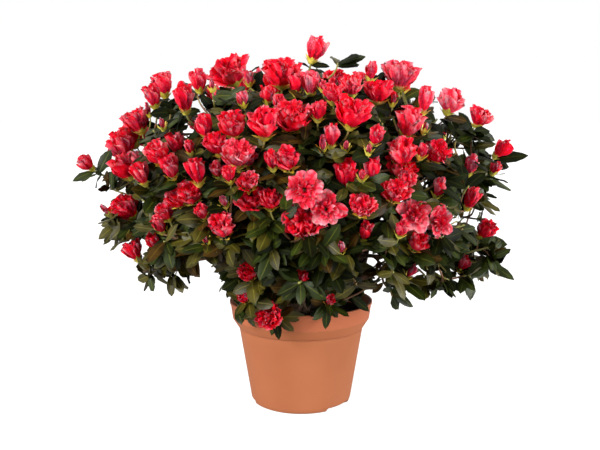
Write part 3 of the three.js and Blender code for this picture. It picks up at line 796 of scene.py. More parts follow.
# Wood: trunk, boughs and stems with bark, then the twigs

def curveTo(shoots, root, way, bend):
    # from each root along its way, in at the shoot's tip along its axis
    tip, axis = gathered(shoots, "tip"), gathered(shoots, "axis")
    pull = np.linalg.norm(tip - root, axis=1, keepdims=True) * bend
    return bezier(root, root + way * pull, tip - axis * pull, tip, np.linspace(0, 1, twig["steps"]))


def mainCurves():
    # each main twig leaves its stem as far back as its tip lies beside it, times the branch slope
    roots = []
    for s in main:
        mass = masses[s["mass"]]
        start = fork + mass["aim"] * mass["reach"] * bough["reach"]
        length = mass["reach"] * (stem["reach"] - bough["reach"])
        offset = s["tip"] - start
        along = offset @ mass["aim"]
        lateral = np.sqrt(max(0, offset @ offset - along * along))
        at = np.clip(along - lateral * stem["branchSlope"], stem["first"], length * stem["last"])
        roots.append(start + mass["aim"] * at)
    return curveTo(main, np.array(roots), aims[gathered(main, "mass")], twig["pull"])


def fineCurves(mainPaths):
    # each fine twig leaves the nearest main twig that it can follow outwards
    anchors = mainPaths[:, twig["joints"]].reshape(-1, 3)
    ways = unit(np.gradient(mainPaths, axis=1))[:, twig["joints"]].reshape(-1, 3)
    gap = gathered(fine, "tip")[:, None] - anchors[None]
    far = np.linalg.norm(gap, axis=2)
    bend = (unit(gap) * ways[None]).sum(2)
    short = np.where(far < twig["shortest"], twig["shortCost"], 0)
    best = (far * (twig["straightness"] - bend) + short).argmin(1)
    return curveTo(fine, anchors[best], ways[best], twig["finePull"])


mainPaths = mainCurves()
finePaths = fineCurves(mainPaths)


def barkRelief(depth, ridges, seed):
    # long ridges that wander round the limb, broken by short cross cracks
    def relief(share, angle):
        wander = angle + 0.5 * np.sin(share * 7 + seed) + 0.2 * np.sin(share * 23 + 2 * seed)
        ridge = np.abs(np.sin(ridges * wander / 2)) ** 0.6
        crack = np.sin(share * 90 + 3 * np.sin(angle * 3 + seed)) * np.sin(angle * 5 + share * 31)
        knot = np.sin(share * 11 + angle * 2 + seed) * 0.5
        return 1 + depth * (ridge - 0.7 + 0.35 * crack + knot * 0.6)
    return relief


def barkFinish():
    # grey-brown bark: dark in the cracks, paler on the ridges, with fine fibres along the limb
    bark = Finish("azalea bark", 0.85)
    coarse = bark.noise(160, 6, (1, 1, 0.25))
    fibre = bark.noise(900, 4, (1, 1, 0.15))
    shade = bark.plus(bark.times(coarse, 0.7), bark.times(fibre, 0.4))
    bark.colour(bark.ramp(shade, [(0.35, "2b1d14"), (0.55, "5d4632"), (0.75, "8d745a")]))
    bark.bump(shade, 0.6, 0.0012)
    bark.rough(coarse, 0.75, 0.95)
    return bark.material


def trunkPiece(material):
    # the source's leaning stem: radius falls off over the root flare with (1 - z/h)^2, lobed by cos(5a)
    height = trunk["topZ"] - trunk["footZ"]
    share = np.linspace(0, 1, trunk["steps"])
    x = -trunk["lean"] * np.clip(1 - share / 0.62, 0, 1) ** 1.4
    z = trunk["footZ"] + height * share
    path = np.stack([x, np.zeros_like(x), z], -1)[None]
    flare = np.maximum(0, 1 - share * height / trunk["flareHeight"]) ** 2
    overTop = np.maximum(0, 1 - (1 - share) / trunk["topRounding"])
    rounded = np.sqrt(np.maximum(0.06, 1 - overTop**2))
    radius = (trunk["radius"] + (trunk["flareRadius"] - trunk["radius"]) * flare) * rounded
    ridges = barkRelief(trunk["ridge"], trunk["ridges"], 1.7)

    def relief(shares, angle):
        lobes = 1 + trunk["lobeDepth"] * flare[None, :, None] * np.cos(trunk["lobes"] * angle)
        return lobes * ridges(shares, angle)

    points, quads = tubes(path, radius[None], trunk["sides"], relief)
    meshPiece("trunk_bark", points, quads, "bark", ["trunk"], material)


def boughPiece(material):
    # a curve from the trunk's side out to where the mass begins, and on as the mass's stem, tapering
    starts, ends, outs, tips = [], [], [], []
    for mass in masses:
        outward = around(mass["bearing"], 1, 0)
        atTop = mass["ring"]["rise"] == 90
        side = np.array([0, 0, mass["ring"]["boughZ"]]) + outward * (trunk["radius"] - bough["sunk"])
        starts.append(np.array([0, 0, trunk["topZ"] - bough["sunk"]]) if atTop else side)
        ends.append(fork + mass["aim"] * mass["reach"] * bough["reach"])
        outs.append(mass["aim"] if atTop else unit(mass["aim"] + outward * bough["outTurn"]))
        tips.append(fork + mass["aim"] * mass["reach"] * stem["reach"])
    start, end, out, tip = (np.array(v) for v in (starts, ends, outs, tips))
    pull = np.linalg.norm(end - start, axis=1, keepdims=True) * twig["pull"]
    share = np.linspace(0, 1, bough["steps"])
    lower = bezier(start, start + out * pull, end - aims * pull, end, share)
    onward = np.linspace(0, 1, stem["steps"])[1:]
    upper = end[:, None] + (tip - end)[:, None] * onward[None, :, None]
    radius = np.concatenate([mix(bough["baseRadius"], bough["tipRadius"], share),
                             mix(stem["baseRadius"], stem["tipRadius"], onward)])
    bark = barkRelief(bough["ridge"], bough["ridges"], 0.4)
    path = np.concatenate([lower, upper], 1)
    points, quads = tubes(path, np.tile(radius, (len(masses), 1)), bough["sides"], bark)
    meshPiece("boughs_bark", points, quads, "bark", boughNodes, material)


barkMaterial = barkFinish()
trunkPiece(barkMaterial)
boughPiece(barkMaterial)


def twigFinish():
    # reddish-brown twig skin with paler specks
    skin = Finish("twig skin", 0.7)
    speck = skin.noise(700, 3, (1, 1, 0.5))
    tint = skin.noise(25, 2)
    base = skin.blend(tint, "4a2c1c", "6d4529")
    skin.colour(skin.blend(skin.times(speck, 0.6), base, "8a6747"))
    skin.bump(speck, 0.4, 0.0005)
    return skin.material


def youngStemFinish():
    # olive-green young stems, flushed red in places
    skin = Finish("young stem skin", 0.6)
    tint = skin.noise(30, 2)
    hair = skin.noise(1200, 2)
    base = skin.ramp(tint, [(0.35, "6b6a2e"), (0.5, "7d7a35"), (0.7, "7c4a2e")])
    skin.colour(skin.blend(skin.times(hair, 0.5), base, "9a9550"))
    skin.bump(hair, 0.3, 0.0003)
    return skin.material


def twigPieces(bare):
    # the twigs' paths as tubes; the last third of each is the young green stem. A shoot left bare where it
    # hid a bloom has no green stem, and a fine one no twig either
    wood, young = [], []
    bareMain, keptFine = bare[:len(main)], ~bare[len(main):]
    cut = twig["greenFrom"]
    for paths, green, base, tipRadius in (
            (mainPaths, ~bareMain, twig["baseRadius"], twig["tipRadius"]),
            (finePaths[keptFine], np.full(keptFine.sum(), True), twig["fineBase"], twig["fineTip"])):
        radius = np.tile(mix(base, tipRadius, np.linspace(0, 1, twig["steps"])), (len(paths), 1))
        wood.append(tubes(paths[:, :cut + 1], radius[:, :cut + 1], twig["sides"]))
        young.append(tubes(paths[green, cut:], radius[green, cut:], twig["sides"]))
    root, tip, axis = (gathered(twins, key) for key in ("root", "tip", "axis"))
    stalk = bezier(root, root + (tip - root) * 0.2 + axis, tip - axis * 3, tip, np.linspace(0, 1, 5))
    young.append(tubes(stalk, np.full(stalk.shape[:2], twig["stalk"]), twig["sides"]))
    meshPiece("twigs_brown", *together(wood), "foliage", foliageNodes, twigFinish())
    meshPiece("stems_young", *together(young), "foliage", foliageNodes, youngStemFinish())


# Leaves

leaf = {
    "length": (22, 35), "widthShare": 0.45, "droop": (0.06, 0.26), "fold": 0.16, "roll": 0.12, "wave": 0.03,
    "underBloom": 7, "onLeafyShoot": 8, "onSprig": 3, "lower": 4, "lowestReach": 0.6, "turn": 2.4,
    "columns": 5, "tilt": 0.85, "upwards": 0.5, "facing": 0.70, "gap": 0.9, "belowTip": 0.5, "belowBloom": 6,
    "broadBloom": 20, "fullBloom": 15, "lift": (0.75, 0.1), "liftUnderBloom": (0.22, -0.12),
    "liftLower": 0.35, "steepestDown": -0.45, "upperShares": (0.8, 1.0), "lowerShare": 0.95,
    "collarShare": 0.74, "oddShare": 0.25, "widths": (0.88, 1.12),
}
single = {"depth": 3, "up": np.array([0, -1.0, 0.6]), "widthShare": 0.36, "seed": 77.0}
# the lighter tones dealt to the skirt's left side are painted light
toneRule = {
    "darkerTop": 0.9, "topZ": (290, 350), "skirtPaintedLight": 0.75, "leftX": (-50, -110), "skirtZ": (240, 210),
}
clearRule = {  # which blooms count and how wide, how much room they have, and where a leaf would hide them
    "leastBloom": 12, "radiusShare": 0.40, "room": 1.12, "sightRoom": 1.15, "windowShare": 0.22,
    "seenReach": 400.0, "ruleReach": 80.0, "potRadius": 84, "potZ": 112,
}
leafTones = {  # piece name: share of the sprays, dark and light base colour, colour of the rib, shine
    "leaves_dark": {"share": 0.30, "dark": "040701", "light": "121905", "rib": "34370f", "shine": 0.05},
    "leaves_green": {"share": 0.37, "dark": "0d1502", "light": "26310a", "rib": "5c601a", "shine": 0.15},
    "leaves_olive": {"share": 0.25, "dark": "1d1c04", "light": "453f10", "rib": "787026", "shine": 0.20},
    "leaves_bronze": {"share": 0.08, "dark": "180f03", "light": "3e2a09", "rib": "695117", "shine": 0.08},
}


def toneBias(tip):
    # the power on the roll that deals out a spray's tone: darker on top, and lighter on the skirt's left side,
    # which is painted light on the leaves there that face the light from the left
    topmost = between(tip[2], *toneRule["topZ"])
    skirt = between(tip[0], *toneRule["leftX"]) * between(tip[2], *toneRule["skirtZ"])
    return 1 + toneRule["darkerTop"] * topmost - toneRule["skirtPaintedLight"] * skirt


def whorlLeaf(shoot, share, k, spread):
    # under the bloom or at the tip, flatter and longer downwards: its root, side, lift and share of the length
    below = leaf["belowBloom" if shoot["size"] > leaf["fullBloom"] else "belowTip"]
    lifts = leaf["liftUnderBloom" if shoot["size"] > leaf["broadBloom"] else "lift"]
    base = shoot["tip"] - shoot["axis"] * (leaf["gap"] * k + below)
    return base, spread, mix(*lifts, share), mix(*leaf["upperShares"], share)


def lowerLeaf(path, down, spread):
    # further down the twig and square to it: its root, side, lift and share of the length
    at = (1 - leaf["lowestReach"] * down) * (len(path) - 1)
    low = int(at)
    high = min(low + 1, len(path) - 1)
    tangent = unit(path[high] - path[low - 1])
    side = unit(spread - tangent * (spread @ tangent))
    return mix(path[low], path[high], at - low), side, leaf["liftLower"], leaf["lowerShare"]


def shootLeaves(number, shoot, path, group):
    # the leaves of one shoot, each turned on from the one before; most have the tone of their spray
    index, axis = shoot["index"], shoot["axis"]
    start = unit(np.cross(axis, np.array([0.3, 1, 0.1])))
    inWhorl = leaf["underBloom" if shoot["size"] > leaf["broadBloom"] else "onLeafyShoot"]
    if firstSprig <= index < firstSprig + 3:
        inWhorl = leaf["onSprig"]
    outward = np.array([0.1 * axis[0], axis[1] - 1.1, 0])
    facing = unit(axis + leaf["upwards"] * upZ + leaf["facing"] * outward)
    made = []
    for k in range(inWhorl + leaf["lower"]):
        spread = turnedAbout(start, axis, leaf["turn"] * k + 2 * np.pi * roll(index, 10))
        if k < inWhorl:
            base, side, lift, share = whorlLeaf(shoot, k / inWhorl, k, spread)
        else:
            base, side, lift, share = lowerLeaf(path, (k - inWhorl + 1) / (leaf["lower"] + 1), spread)
        way = unit(side + axis * lift)
        way[2] = max(way[2], leaf["steepestDown"])
        way = unit(way)
        size = mix(*leaf["length"], roll(index, 20 + k)) * share
        size *= leaf["collarShare"] if collarRule["first"] <= index < rimFirst else 1
        odd = group is not None and roll(index, 80 + k) > 1 - leaf["oddShare"]
        made.append({
            "base": base, "way": way, "up": turnedAbout(facing, way, leaf["tilt"] * swing(index, 100 + k)),
            "length": size, "width": size * leaf["widthShare"] * mix(*leaf["widths"], roll(index, 60 + k)),
            "seed": index + 0.37 * k, "group": int(4 * roll(index, 90 + k)) % 4 if odd else group or 0,
            "shoot": number})
    return made


def leafRows():
    # every shoot's leaves, those deep in the crown all in the dark tone as painted shade, and the leaves that
    # stand alone
    rows = []
    edges = np.cumsum([tone["share"] for tone in leafTones.values()])
    for number, (shoot, path) in enumerate(zip(shoots, np.concatenate([mainPaths, finePaths]))):
        index = shoot["index"]
        inner = innerRule["first"] <= index < innerRule["first"] + innerRule["count"]
        group = int(np.searchsorted(edges, roll(index, 40) ** toneBias(shoot["tip"]) * edges[-1]))
        # shoots deep in the crown pass no group, so all their leaves take the dark tone: painted shade
        rows += shootLeaves(number, shoot, path, None if inner else group)
    numbers = {shoot["index"]: number for number, shoot in enumerate(shoots)}
    for k, (index, way, length) in enumerate(singleLeaves):
        shoot = shoots[numbers[index]]
        rows.append({"base": shoot["tip"] - shoot["axis"] * single["depth"], "way": unit(np.array(way)),
                     "up": unit(single["up"]), "length": length, "width": length * single["widthShare"],
                     "seed": single["seed"] + k, "group": k % 2, "shoot": numbers[index]})
    return {key: gathered(rows, key) for key in rows[0]}


def alongLeaf(rows, share):
    # the point that far along each leaf
    return rows["base"] + rows["way"] * (rows["length"] * share)[:, None]


def clearOfBlooms(rows):
    # a leaf whose middle or tip lies inside a bloom other than at its root is left out, and so is one inside
    # the pot, one that closes a sky window and one that hides a bloom from the photograph's side
    least = clearRule["leastBloom"]
    blooms = [s for s in shoots if s["size"] > (0 if s["index"] >= seenRule["first"] else least)]
    centres = np.array([onBloom(s, share) for share in (0.5, 0.85) for s in blooms])
    radii = np.tile(gathered(blooms, "size") * clearRule["radiusShare"], 2)
    keep = np.ones(len(rows["base"]), bool)
    for share in (0.5, 0.72, 0.95):
        far = np.linalg.norm(alongLeaf(rows, share)[:, None] - centres[None], axis=2)
        keep &= (far > radii[None] * clearRule["room"]).all(1)
    tip = alongLeaf(rows, 0.95)
    keep &= (np.hypot(tip[:, 0], tip[:, 1]) >= clearRule["potRadius"]) | (tip[:, 2] >= clearRule["potZ"])
    toCamera = unit(cameraPlace - centres)
    index = np.tile(gathered(blooms, "index"), 2)
    standing = (index >= firstSprig) & (index < firstSprig + len(sprigs))
    reach = np.where(standing | (index >= rimFirst), clearRule["seenReach"], clearRule["ruleReach"])
    for share in (0.3, 0.6, 0.9):
        p = alongLeaf(rows, share)
        gap = p[:, None] - centres[None]
        nearer = (gap * toCamera[None]).sum(2)
        aside = np.linalg.norm(gap - nearer[..., None] * toCamera[None], axis=2)
        beside = aside < radii[None] * clearRule["sightRoom"]
        keep &= ~((nearer > 0) & (nearer < reach[None]) & beside).any(1)
        keep &= ~throughWindow(p, clearRule["windowShare"] * rows["width"])
    return {key: value[keep] for key, value in rows.items()}


def leafSurface(rows):
    # along u the midrib droops with u^2; across v the blade is half the width times sin(pi u^1.08)^0.68,
    # folded up beside the midrib, rolled down at the edge and waved along it
    u = np.array([0, 0.14, 0.36, 0.62, 0.85, 1.0])[None, :, None]
    v = np.linspace(-1, 1, leaf["columns"])[None, None, :]
    seed = rows["seed"]
    pick = lambda n: roll(seed, n)[:, None, None]
    length = rows["length"][:, None, None]
    blade = np.maximum(np.sin(np.pi * u**1.08) ** 0.68, 0.05 * (1 - 0.6 * u))
    half = rows["width"][:, None, None] / 2 * blade
    side = unit(np.cross(rows["way"], rows["up"]))
    top = unit(np.cross(side, rows["way"]))
    droop = mix(*leaf["droop"], pick(1))
    wave = leaf["wave"] * length * np.sin(2 * np.pi * (1.6 * u + pick(2))) * v
    folded = half * (leaf["fold"] * np.abs(v) - leaf["roll"] * v**2 * 2)
    height = -droop * length * u**2 + folded + wave * np.abs(v)
    bend = 0.10 * length * (pick(3) - 0.5) * 2 * u**2
    along = length * (u - 0.12 * droop * u**2)
    axes = lambda d: d[:, None, None, :]
    points = (axes(rows["base"]) + axes(rows["way"]) * along[..., None]
              + axes(side) * (half * v + bend)[..., None] + axes(top) * height[..., None])
    shape = points.shape[:3]
    uv = np.stack([np.broadcast_to(u, shape), np.broadcast_to(v / 2 + 0.5, shape)], -1)
    return points, uv


def leafFinish(name, tone):
    # a leathery leaf: paler midrib, faint side veins, a satin upper face
    skin = Finish(name, 0.45, Specular_IOR_Level=tone["shine"])
    place = skin.split(skin.node("ShaderNodeUVMap", uv_map="own").outputs["UV"])
    across = skin.math("ABSOLUTE", skin.less(place["Y"], 0.5))
    rib = skin.less(1.0, skin.times(across, 14.0), clamp=True)
    slant = skin.plus(skin.times(place["X"], 52.0), skin.times(across, -34.0))
    vein = skin.times(skin.plus(skin.math("SINE", slant), 1.0), 0.5)
    base = skin.ramp(skin.noise(55, 3), [(0.35, tone["dark"]), (0.68, tone["light"])])
    base = skin.blend(skin.times(vein, 0.06), base, tone["rib"])
    skin.colour(skin.blend(skin.times(rib, 0.5), base, tone["rib"]))
    skin.bump(skin.less(skin.times(vein, 0.3), rib), 0.3, 0.0005)
    smoother = 0.4 * tone["shine"]
    skin.rough(skin.noise(200, 3), 0.40 - smoother, 0.60 - smoother)
    return skin.material


leafData = clearOfBlooms(leafRows())
leavesLeft = np.bincount(leafData["shoot"], minlength=len(shoots))
twigPieces((leavesLeft < twig["leastLeaves"]) & (gathered(shoots, "size") == 0))
leafPoints, leafUv = leafSurface(leafData)
for number, (name, tone) in enumerate(leafTones.items()):
    chosen = leafData["group"] == number
    points = leafPoints[chosen]
    skin = leafFinish(name, tone)
    meshPiece(name, points, gridQuads(*points.shape[:3]), "foliage", foliageNodes, skin, uv=leafUv[chosen])
print("leaves:", len(leafData["base"]))


# Blooms. Each row of petals: how many, length and width over the bloom's size, lean from the axis in degrees
# at the root and at the tip, outward curl of the lip, ruffle, tone and how far up the row starts. The tone is
# lighter on the outer rows and darker on the inner ones: partly the petals' own colour, and partly painted
# light on the outer faces and painted shade deep in the bloom

petalRows = {
    "small": [
        (5, 1.00, 0.96, 58, -20, 16, 0.058, 0.08, 0.00), (5, 1.08, 0.78, 46, -20, 22, 0.070, 0.03, 0.03),
        (5, 1.08, 0.58, 30, -16, 26, 0.078, -0.03, 0.05),
    ],
    "long": [
        (5, 1.20, 1.00, 54, -18, 18, 0.060, 0.08, 0.00), (5, 1.30, 0.80, 43, -18, 24, 0.070, 0.04, 0.03),
        (5, 1.30, 0.60, 27, -13, 26, 0.076, -0.03, 0.05),
    ],
    "cup": [
        (5, 0.90, 0.98, 68, -4, 32, 0.076, 0.08, 0.00), (6, 0.98, 0.76, 60, -10, 38, 0.086, 0.05, 0.03),
        (6, 0.98, 0.58, 46, -14, 44, 0.090, 0.00, 0.05), (5, 0.96, 0.44, 26, -8, 40, 0.092, -0.08, 0.07),
    ],
    "globe": [
        (5, 0.87, 0.94, 80, 0, 44, 0.080, 0.08, 0.00), (6, 0.90, 0.74, 70, -8, 50, 0.082, 0.05, 0.03),
        (7, 0.84, 0.58, 56, -12, 54, 0.074, 0.02, 0.05), (7, 0.80, 0.44, 38, -6, 48, 0.080, -0.04, 0.07),
        (5, 0.76, 0.34, 18, 0, 40, 0.084, -0.10, 0.08),
    ],
    "open": [
        (5, 0.66, 0.80, 64, 68, 12, 0.032, 0.30, 0.00), (5, 0.61, 0.66, 58, 46, 22, 0.042, 0.18, 0.02),
        (5, 0.50, 0.44, 42, 22, 28, 0.055, -0.02, 0.04), (5, 0.44, 0.34, 20, 8, 30, 0.060, -0.12, 0.06),
    ],
    "bud": [
        (5, 1.46, 1.00, 42, -30, 0, 0.010, 0.05, 0.00), (3, 1.40, 0.72, 16, -18, 0, 0.010, -0.05, 0.10),
    ],
}
petal = {
    "columns": 9, "rootRadius": 0.055, "tilt": 0.16, "twist": 0.30, "lengthSpread": 0.14, "leanSpread": 9,
    "looseness": (-6, 9), "turnSpread": 0.30, "pleat": 0.056, "corner": 0.13, "tube": 0.60,
    "toneSpread": 0.42, "raggedness": 0.4,
}
bloomTones = {  # piece name: deep, middle, light and lip colour
    "blooms_scarlet": ("f6061e", "fc1632", "f85c6c", "f28c8e"),
    "blooms_crimson": ("ee041c", "f80e30", "f65060", "ee8486"),
    "blooms_rose": ("f61434", "fc344c", "fa7482", "f4989c"),
}
budTone = ("a80f24", "d8344c", "e66a78", "f0b4b4")


def leanAlong(lean, leanTip, u):
    # a bloom's lean from its axis along a petal: steeper over the tube at its root, then lean to leanTip
    return mix(lean, leanTip, u**0.9) - petal["tube"] * lean * (1 - np.clip(u / 0.28, 0, 1)) ** 1.5


def petalList(blooms):
    # one row of numbers for each petal, with its own small departures by the bloom's rolls
    table = []
    for b, shoot in enumerate(blooms):
        index = shoot["index"]
        loose = mix(*petal["looseness"], roll(index, 51)) if shoot["kind"] != "bud" else 0
        for row, (count, length, width, lean, leanTip, curl, ruffle, tone, start) in enumerate(
                petalRows[shoot["kind"]]):
            for k in range(count):
                seed = index + 0.13 * row + 0.017 * k
                spread = 1 + petal["lengthSpread"] * swing(seed, 52)
                off = petal["leanSpread"] * swing(seed, 53)
                turn = 2 * np.pi * roll(index, 50) + 2 * np.pi * (k + 0.5 * (row % 2)) / count
                table.append((
                    b, turn + petal["turnSpread"] * swing(seed, 54), length * spread, width * spread,
                    lean + off + loose * 0.5, leanTip + off + loose, curl * (0.4 + 1.2 * roll(seed, 55)),
                    ruffle, tone + petal["toneSpread"] * (roll(seed, 56) - 0.5), start, seed))
    return np.array(table)


def swept(lean, step):
    # how far out and how far up a blade gets, row by row: the running sums of the sine and the cosine of the
    # lean halfway between two rows, times the step
    middle = (lean[:, 1:] + lean[:, :-1]) / 2
    zero = np.zeros_like(middle[:, :1])
    return [np.concatenate([zero, np.cumsum(part(middle) * step, 1)], 1) for part in (np.sin, np.cos)]


def roundTheAxis(blooms, b, bearing, radial, level):
    # tip + axis times level + (first cos bearing + second sin bearing) times radial, for each blade's bloom
    tip, axis = gathered(blooms, "tip"), gathered(blooms, "axis")
    tip, axis, first, second = (d[b][:, None, None] for d in (tip, axis, *sideAxes(axis)))
    ring = first * np.cos(bearing)[..., None] + second * np.sin(bearing)[..., None]
    return tip + axis * level[..., None] + ring * radial[..., None]


def petalSurface(blooms):
    # round the bloom's axis: height and radius are sums of cos and sin of the lean, which runs from the
    # root's lean to the tip's and curls out over the last third; across v the blade wraps round the axis,
    # one edge over the next petal, and its lip is an arc, ruffled by a sine of v that grows with u^2
    table = petalList(blooms)
    b = table[:, 0].astype(int)
    angle, length, width, lean, leanTip, curl, ruffle, tone, start, seed = (
        values[:, None, None] for values in table[:, 1:].T)
    size = gathered(blooms, "size")[b][:, None, None]
    u = np.array([0, 0.14, 0.32, 0.54, 0.75, 0.90, 1.0])[None, :, None]
    v = np.linspace(-1, 1, petal["columns"])[None, None, :]
    theta = np.radians(leanAlong(lean, leanTip, u) + curl * np.clip((u - 0.66) / 0.34, 0, 1) ** 2)
    out, up = (part * length * size for part in swept(theta, np.diff(u, axis=1)))
    drawnIn = 1 - 0.20 * np.clip((u - 0.8) / 0.2, 0, 1) ** 2
    half = width * size / 2 * (0.20 + 0.80 * smooth(u / 0.70)) * drawnIn
    shorten = petal["corner"] * length * size * np.abs(v) ** 2.8 * u**2
    up = up + start * size - shorten * np.cos(theta)
    rho = petal["rootRadius"] * size + out - shorten * np.sin(theta)
    waves = 1.4 + 1.6 * roll(seed, 57)
    lip = np.sin(2 * np.pi * (waves * v / 2 + roll(seed, 58))) * (0.35 + 0.65 * np.abs(v)) * u**2
    lip = lip + 0.5 * np.sin(2 * np.pi * (0.95 * v + roll(seed, 59))) * u**4
    fold = np.sin((5 + 3 * roll(seed, 62)) * v + 5 * u + 6 * roll(seed, 60))
    pleats = fold * petal["pleat"] * size * np.minimum(2 * u, 1)
    offset = ruffle * size * lip * 1.3 + pleats + petal["tilt"] * v * half * (0.3 + 0.7 * u)
    wrap = np.maximum(rho, 0.10 * size) * 1.05 + 0.25 * size * np.clip(theta, 0, 2) * u
    bearing = angle + half * v / wrap + petal["twist"] * swing(seed, 61) * u
    level = up - petal["raggedness"] * offset * np.sin(theta)
    points = roundTheAxis(blooms, b, bearing, rho + offset * np.cos(theta), level)
    # the tone follows the pleats' folds and the lip's ruffles: painted shade in their hollows and painted
    # highlight on their ridges; it also grows towards the lip
    light = 0.25 + tone * (0.3 + 0.7 * u) + 0.30 * u**2 + 0.26 * lip * u + 0.26 * fold * u
    along = np.where(start > 0, 0.3 + 0.7 * u, u)  # only the outermost petals are pale at the root
    uv = np.stack([np.broadcast_to(along, light.shape), np.broadcast_to(v / 2 + 0.5, light.shape)], -1)
    return points, uv, np.clip(light, 0, 1)


def petalFinish(name, colours):
    # silky petal: deep in the folds and pale on their ridges, which is painted shade and painted highlight,
    # lighter to the lip, with fine veins along it and a soft sheen
    deep, middle, light, lip = colours
    silk = Finish(name, 0.6, Specular_IOR_Level=0.06, Subsurface_Weight=0.8, Subsurface_Scale=0.008,
                  Subsurface_Radius=(1, 0.12, 0.10))
    # the tone attribute carries painted shade in the folds and painted highlight on the ridges and ruffles
    fold = silk.node("ShaderNodeAttribute", attribute_name="tone").outputs["Fac"]
    shade = silk.plus(fold, silk.times(silk.less(silk.noise(260, 4), 0.5), 0.55))
    petals = silk.ramp(shade, [(0.12, deep), (0.45, middle), (0.73, light), (0.97, lip)])
    along = silk.split(silk.node("ShaderNodeUVMap", uv_map="own").outputs["UV"])["X"]
    root = silk.less(1.0, silk.times(along, 4.2), clamp=True)
    silk.colour(silk.blend(silk.times(root, 0.95), petals, "f0d478"))
    vein = silk.noise(9, 3, (1.6, 9, 1), source="UV")
    crumple = silk.noise(210, 2)
    silk.bump(silk.plus(silk.times(vein, 0.5), crumple), 0.7, 0.0030)
    return silk.material


def petalPiece(name, colours, shoots):
    # all petals of these blooms or buds
    points, uv, tone = petalSurface(shoots)
    quads = gridQuads(*points.shape[:3])
    meshPiece(name, points, quads, "foliage", foliageNodes, petalFinish(name, colours), uv=uv, tone=tone)


def bloomTone(shoot):
    # open blooms are rose, and the others take their colour by a roll, of which few come out rose
    return 2 if shoot["kind"] == "open" else int(2.3 * roll(shoot["index"], 70))


blooms = [s for s in shoots + twins if s["kind"] in bloomNames]
buds = [s for s in shoots + twins if s["kind"] == "bud"]
for number, (name, colours) in enumerate(bloomTones.items()):
    petalPiece(name, colours, [s for s in blooms if bloomTone(s) == number])
petalPiece("buds_rose", budTone, buds)
print("blooms:", len(blooms), "buds:", len(buds))


calyx = {
    "lobes": 7, "length": 0.36, "least": 7.5, "width": 0.27, "outside": 4, "flare": 30, "columns": 3,
    "leastBloom": 14, "round": 1.6,
}


def calyxSurface(blooms):
    # pointed lobes round the bloom's root: their lean is that of the outermost petals at the same distance,
    # plus a few degrees and a random flare
    index = gathered(blooms, "index").astype(float)
    number = np.arange(calyx["lobes"])
    b = np.repeat(np.arange(len(blooms)), calyx["lobes"])
    seed = (index[:, None] + 0.21 * number[None]).ravel()[:, None, None]
    angle = (2 * np.pi * (number[None] / calyx["lobes"] + roll(index, 71)[:, None])).ravel()[:, None, None]
    size = np.maximum(gathered(blooms, "size"), calyx["leastBloom"])[b][:, None, None]
    u = np.array([0, 0.35, 0.7, 1.0])[None, :, None]
    v = np.linspace(-1, 1, calyx["columns"])[None, None, :]
    length = np.maximum(calyx["length"] * size, calyx["least"]) * (0.7 + 0.6 * roll(seed, 72))
    outer = np.array([petalRows[s["kind"]][0] for s in blooms])[b][:, :, None, None]
    reached = np.clip(u * length / (outer[:, 1] * size), 0, 1)
    flare = calyx["flare"] * roll(seed, 74) ** 2 * u
    lean = np.radians(leanAlong(outer[:, 3], outer[:, 4], reached) + calyx["outside"] + flare)
    out, up = swept(lean, np.diff(u, axis=1) * length)
    out = calyx["round"] + petal["rootRadius"] * size + out
    half = calyx["width"] * size / 2 * np.sin(np.pi * (0.22 + 0.76 * u)) ** 0.9
    bearing = angle + half * v / np.maximum(out, 1.4)
    return roundTheAxis(blooms, b, bearing, out - 0.25 * half * np.abs(v), up - calyx["round"] + 0 * bearing)


def calyxFinish():
    # yellow-green bracts, browner in patches
    skin = Finish("bract skin", 0.5)
    tint = skin.noise(90, 3)
    skin.colour(skin.ramp(tint, [(0.3, "8f8f22"), (0.46, "e0cf58"), (0.58, "cfbf34"), (0.74, "b07a2c")]))
    skin.bump(skin.noise(900, 2), 0.3, 0.0004)
    return skin.material


points = calyxSurface(blooms + buds)
meshPiece("bracts", points, gridQuads(*points.shape[:3]), "foliage", foliageNodes, calyxFinish())


# The pot and its soil

pot = {
    "height": 123, "rimRadius": 85, "lip": 3, "lipProud": 1, "bandBottomRadius": 81.6, "bandBottomZ": 103,
    "stepRadius": 74.8, "stepZ": 92, "ledge": 0.9, "footRadius": 55, "cornerRadius": 59.8, "cornerZ": 6,
    "wall": 2, "floor": 3.2, "floorRadius": 42, "cornerRun": 5, "cornerFloor": 8, "segments": 240,
    "notchHeight": 4.5, "notchInner": 47, "notchWidth": 40, "notchCentres": (321, 183, 72), "groove": 1.1,
    "edgeRadius": 0.45, "longest": 7,
}
soil = {
    "crownZ": 110, "edgeZ": 107, "flatRadius": 30, "gap": 0.4, "segments": 132, "rings": 52, "longest": 12,
    "crumbs": 800, "crumbRows": 5, "crumbSides": 6,
}


def rounded(profile, radius, steps):
    # each inner corner of a profile replaced by an arc-like curve that starts and ends a radius away
    points = [np.array(profile[0], float)]
    for before, here, after in zip(profile[:-2], profile[1:-1], profile[2:]):
        before, here, after = (np.array(p, float) for p in (before, here, after))
        cut = min(radius, 0.45 * np.linalg.norm(here - before), 0.45 * np.linalg.norm(after - here))
        a, c = here + unit(before - here) * cut, here + unit(after - here) * cut
        for t in np.linspace(0, 1, steps):
            points.append((1 - t) ** 2 * a + 2 * t * (1 - t) * here + t * t * c)
    points.append(np.array(profile[-1], float))
    return np.array(points)


def densified(profile, longest):
    # extra points so that no step of the profile is longer than that
    points = [profile[0]]
    for a, b in zip(profile[:-1], profile[1:]):
        n = max(1, int(np.ceil(np.linalg.norm(b - a) / longest)))
        points.extend(a + (b - a) * (k / n) for k in range(1, n + 1))
    return np.array(points)


def turnedSurface(profile, segments):
    # the profile's [radius, height] carried round the Z axis
    angle = 2 * np.pi * np.arange(segments) / segments
    r, z = profile[:, 0][:, None], profile[:, 1][:, None]
    return np.stack([r * np.cos(angle), r * np.sin(angle), z + 0 * angle], -1), angle


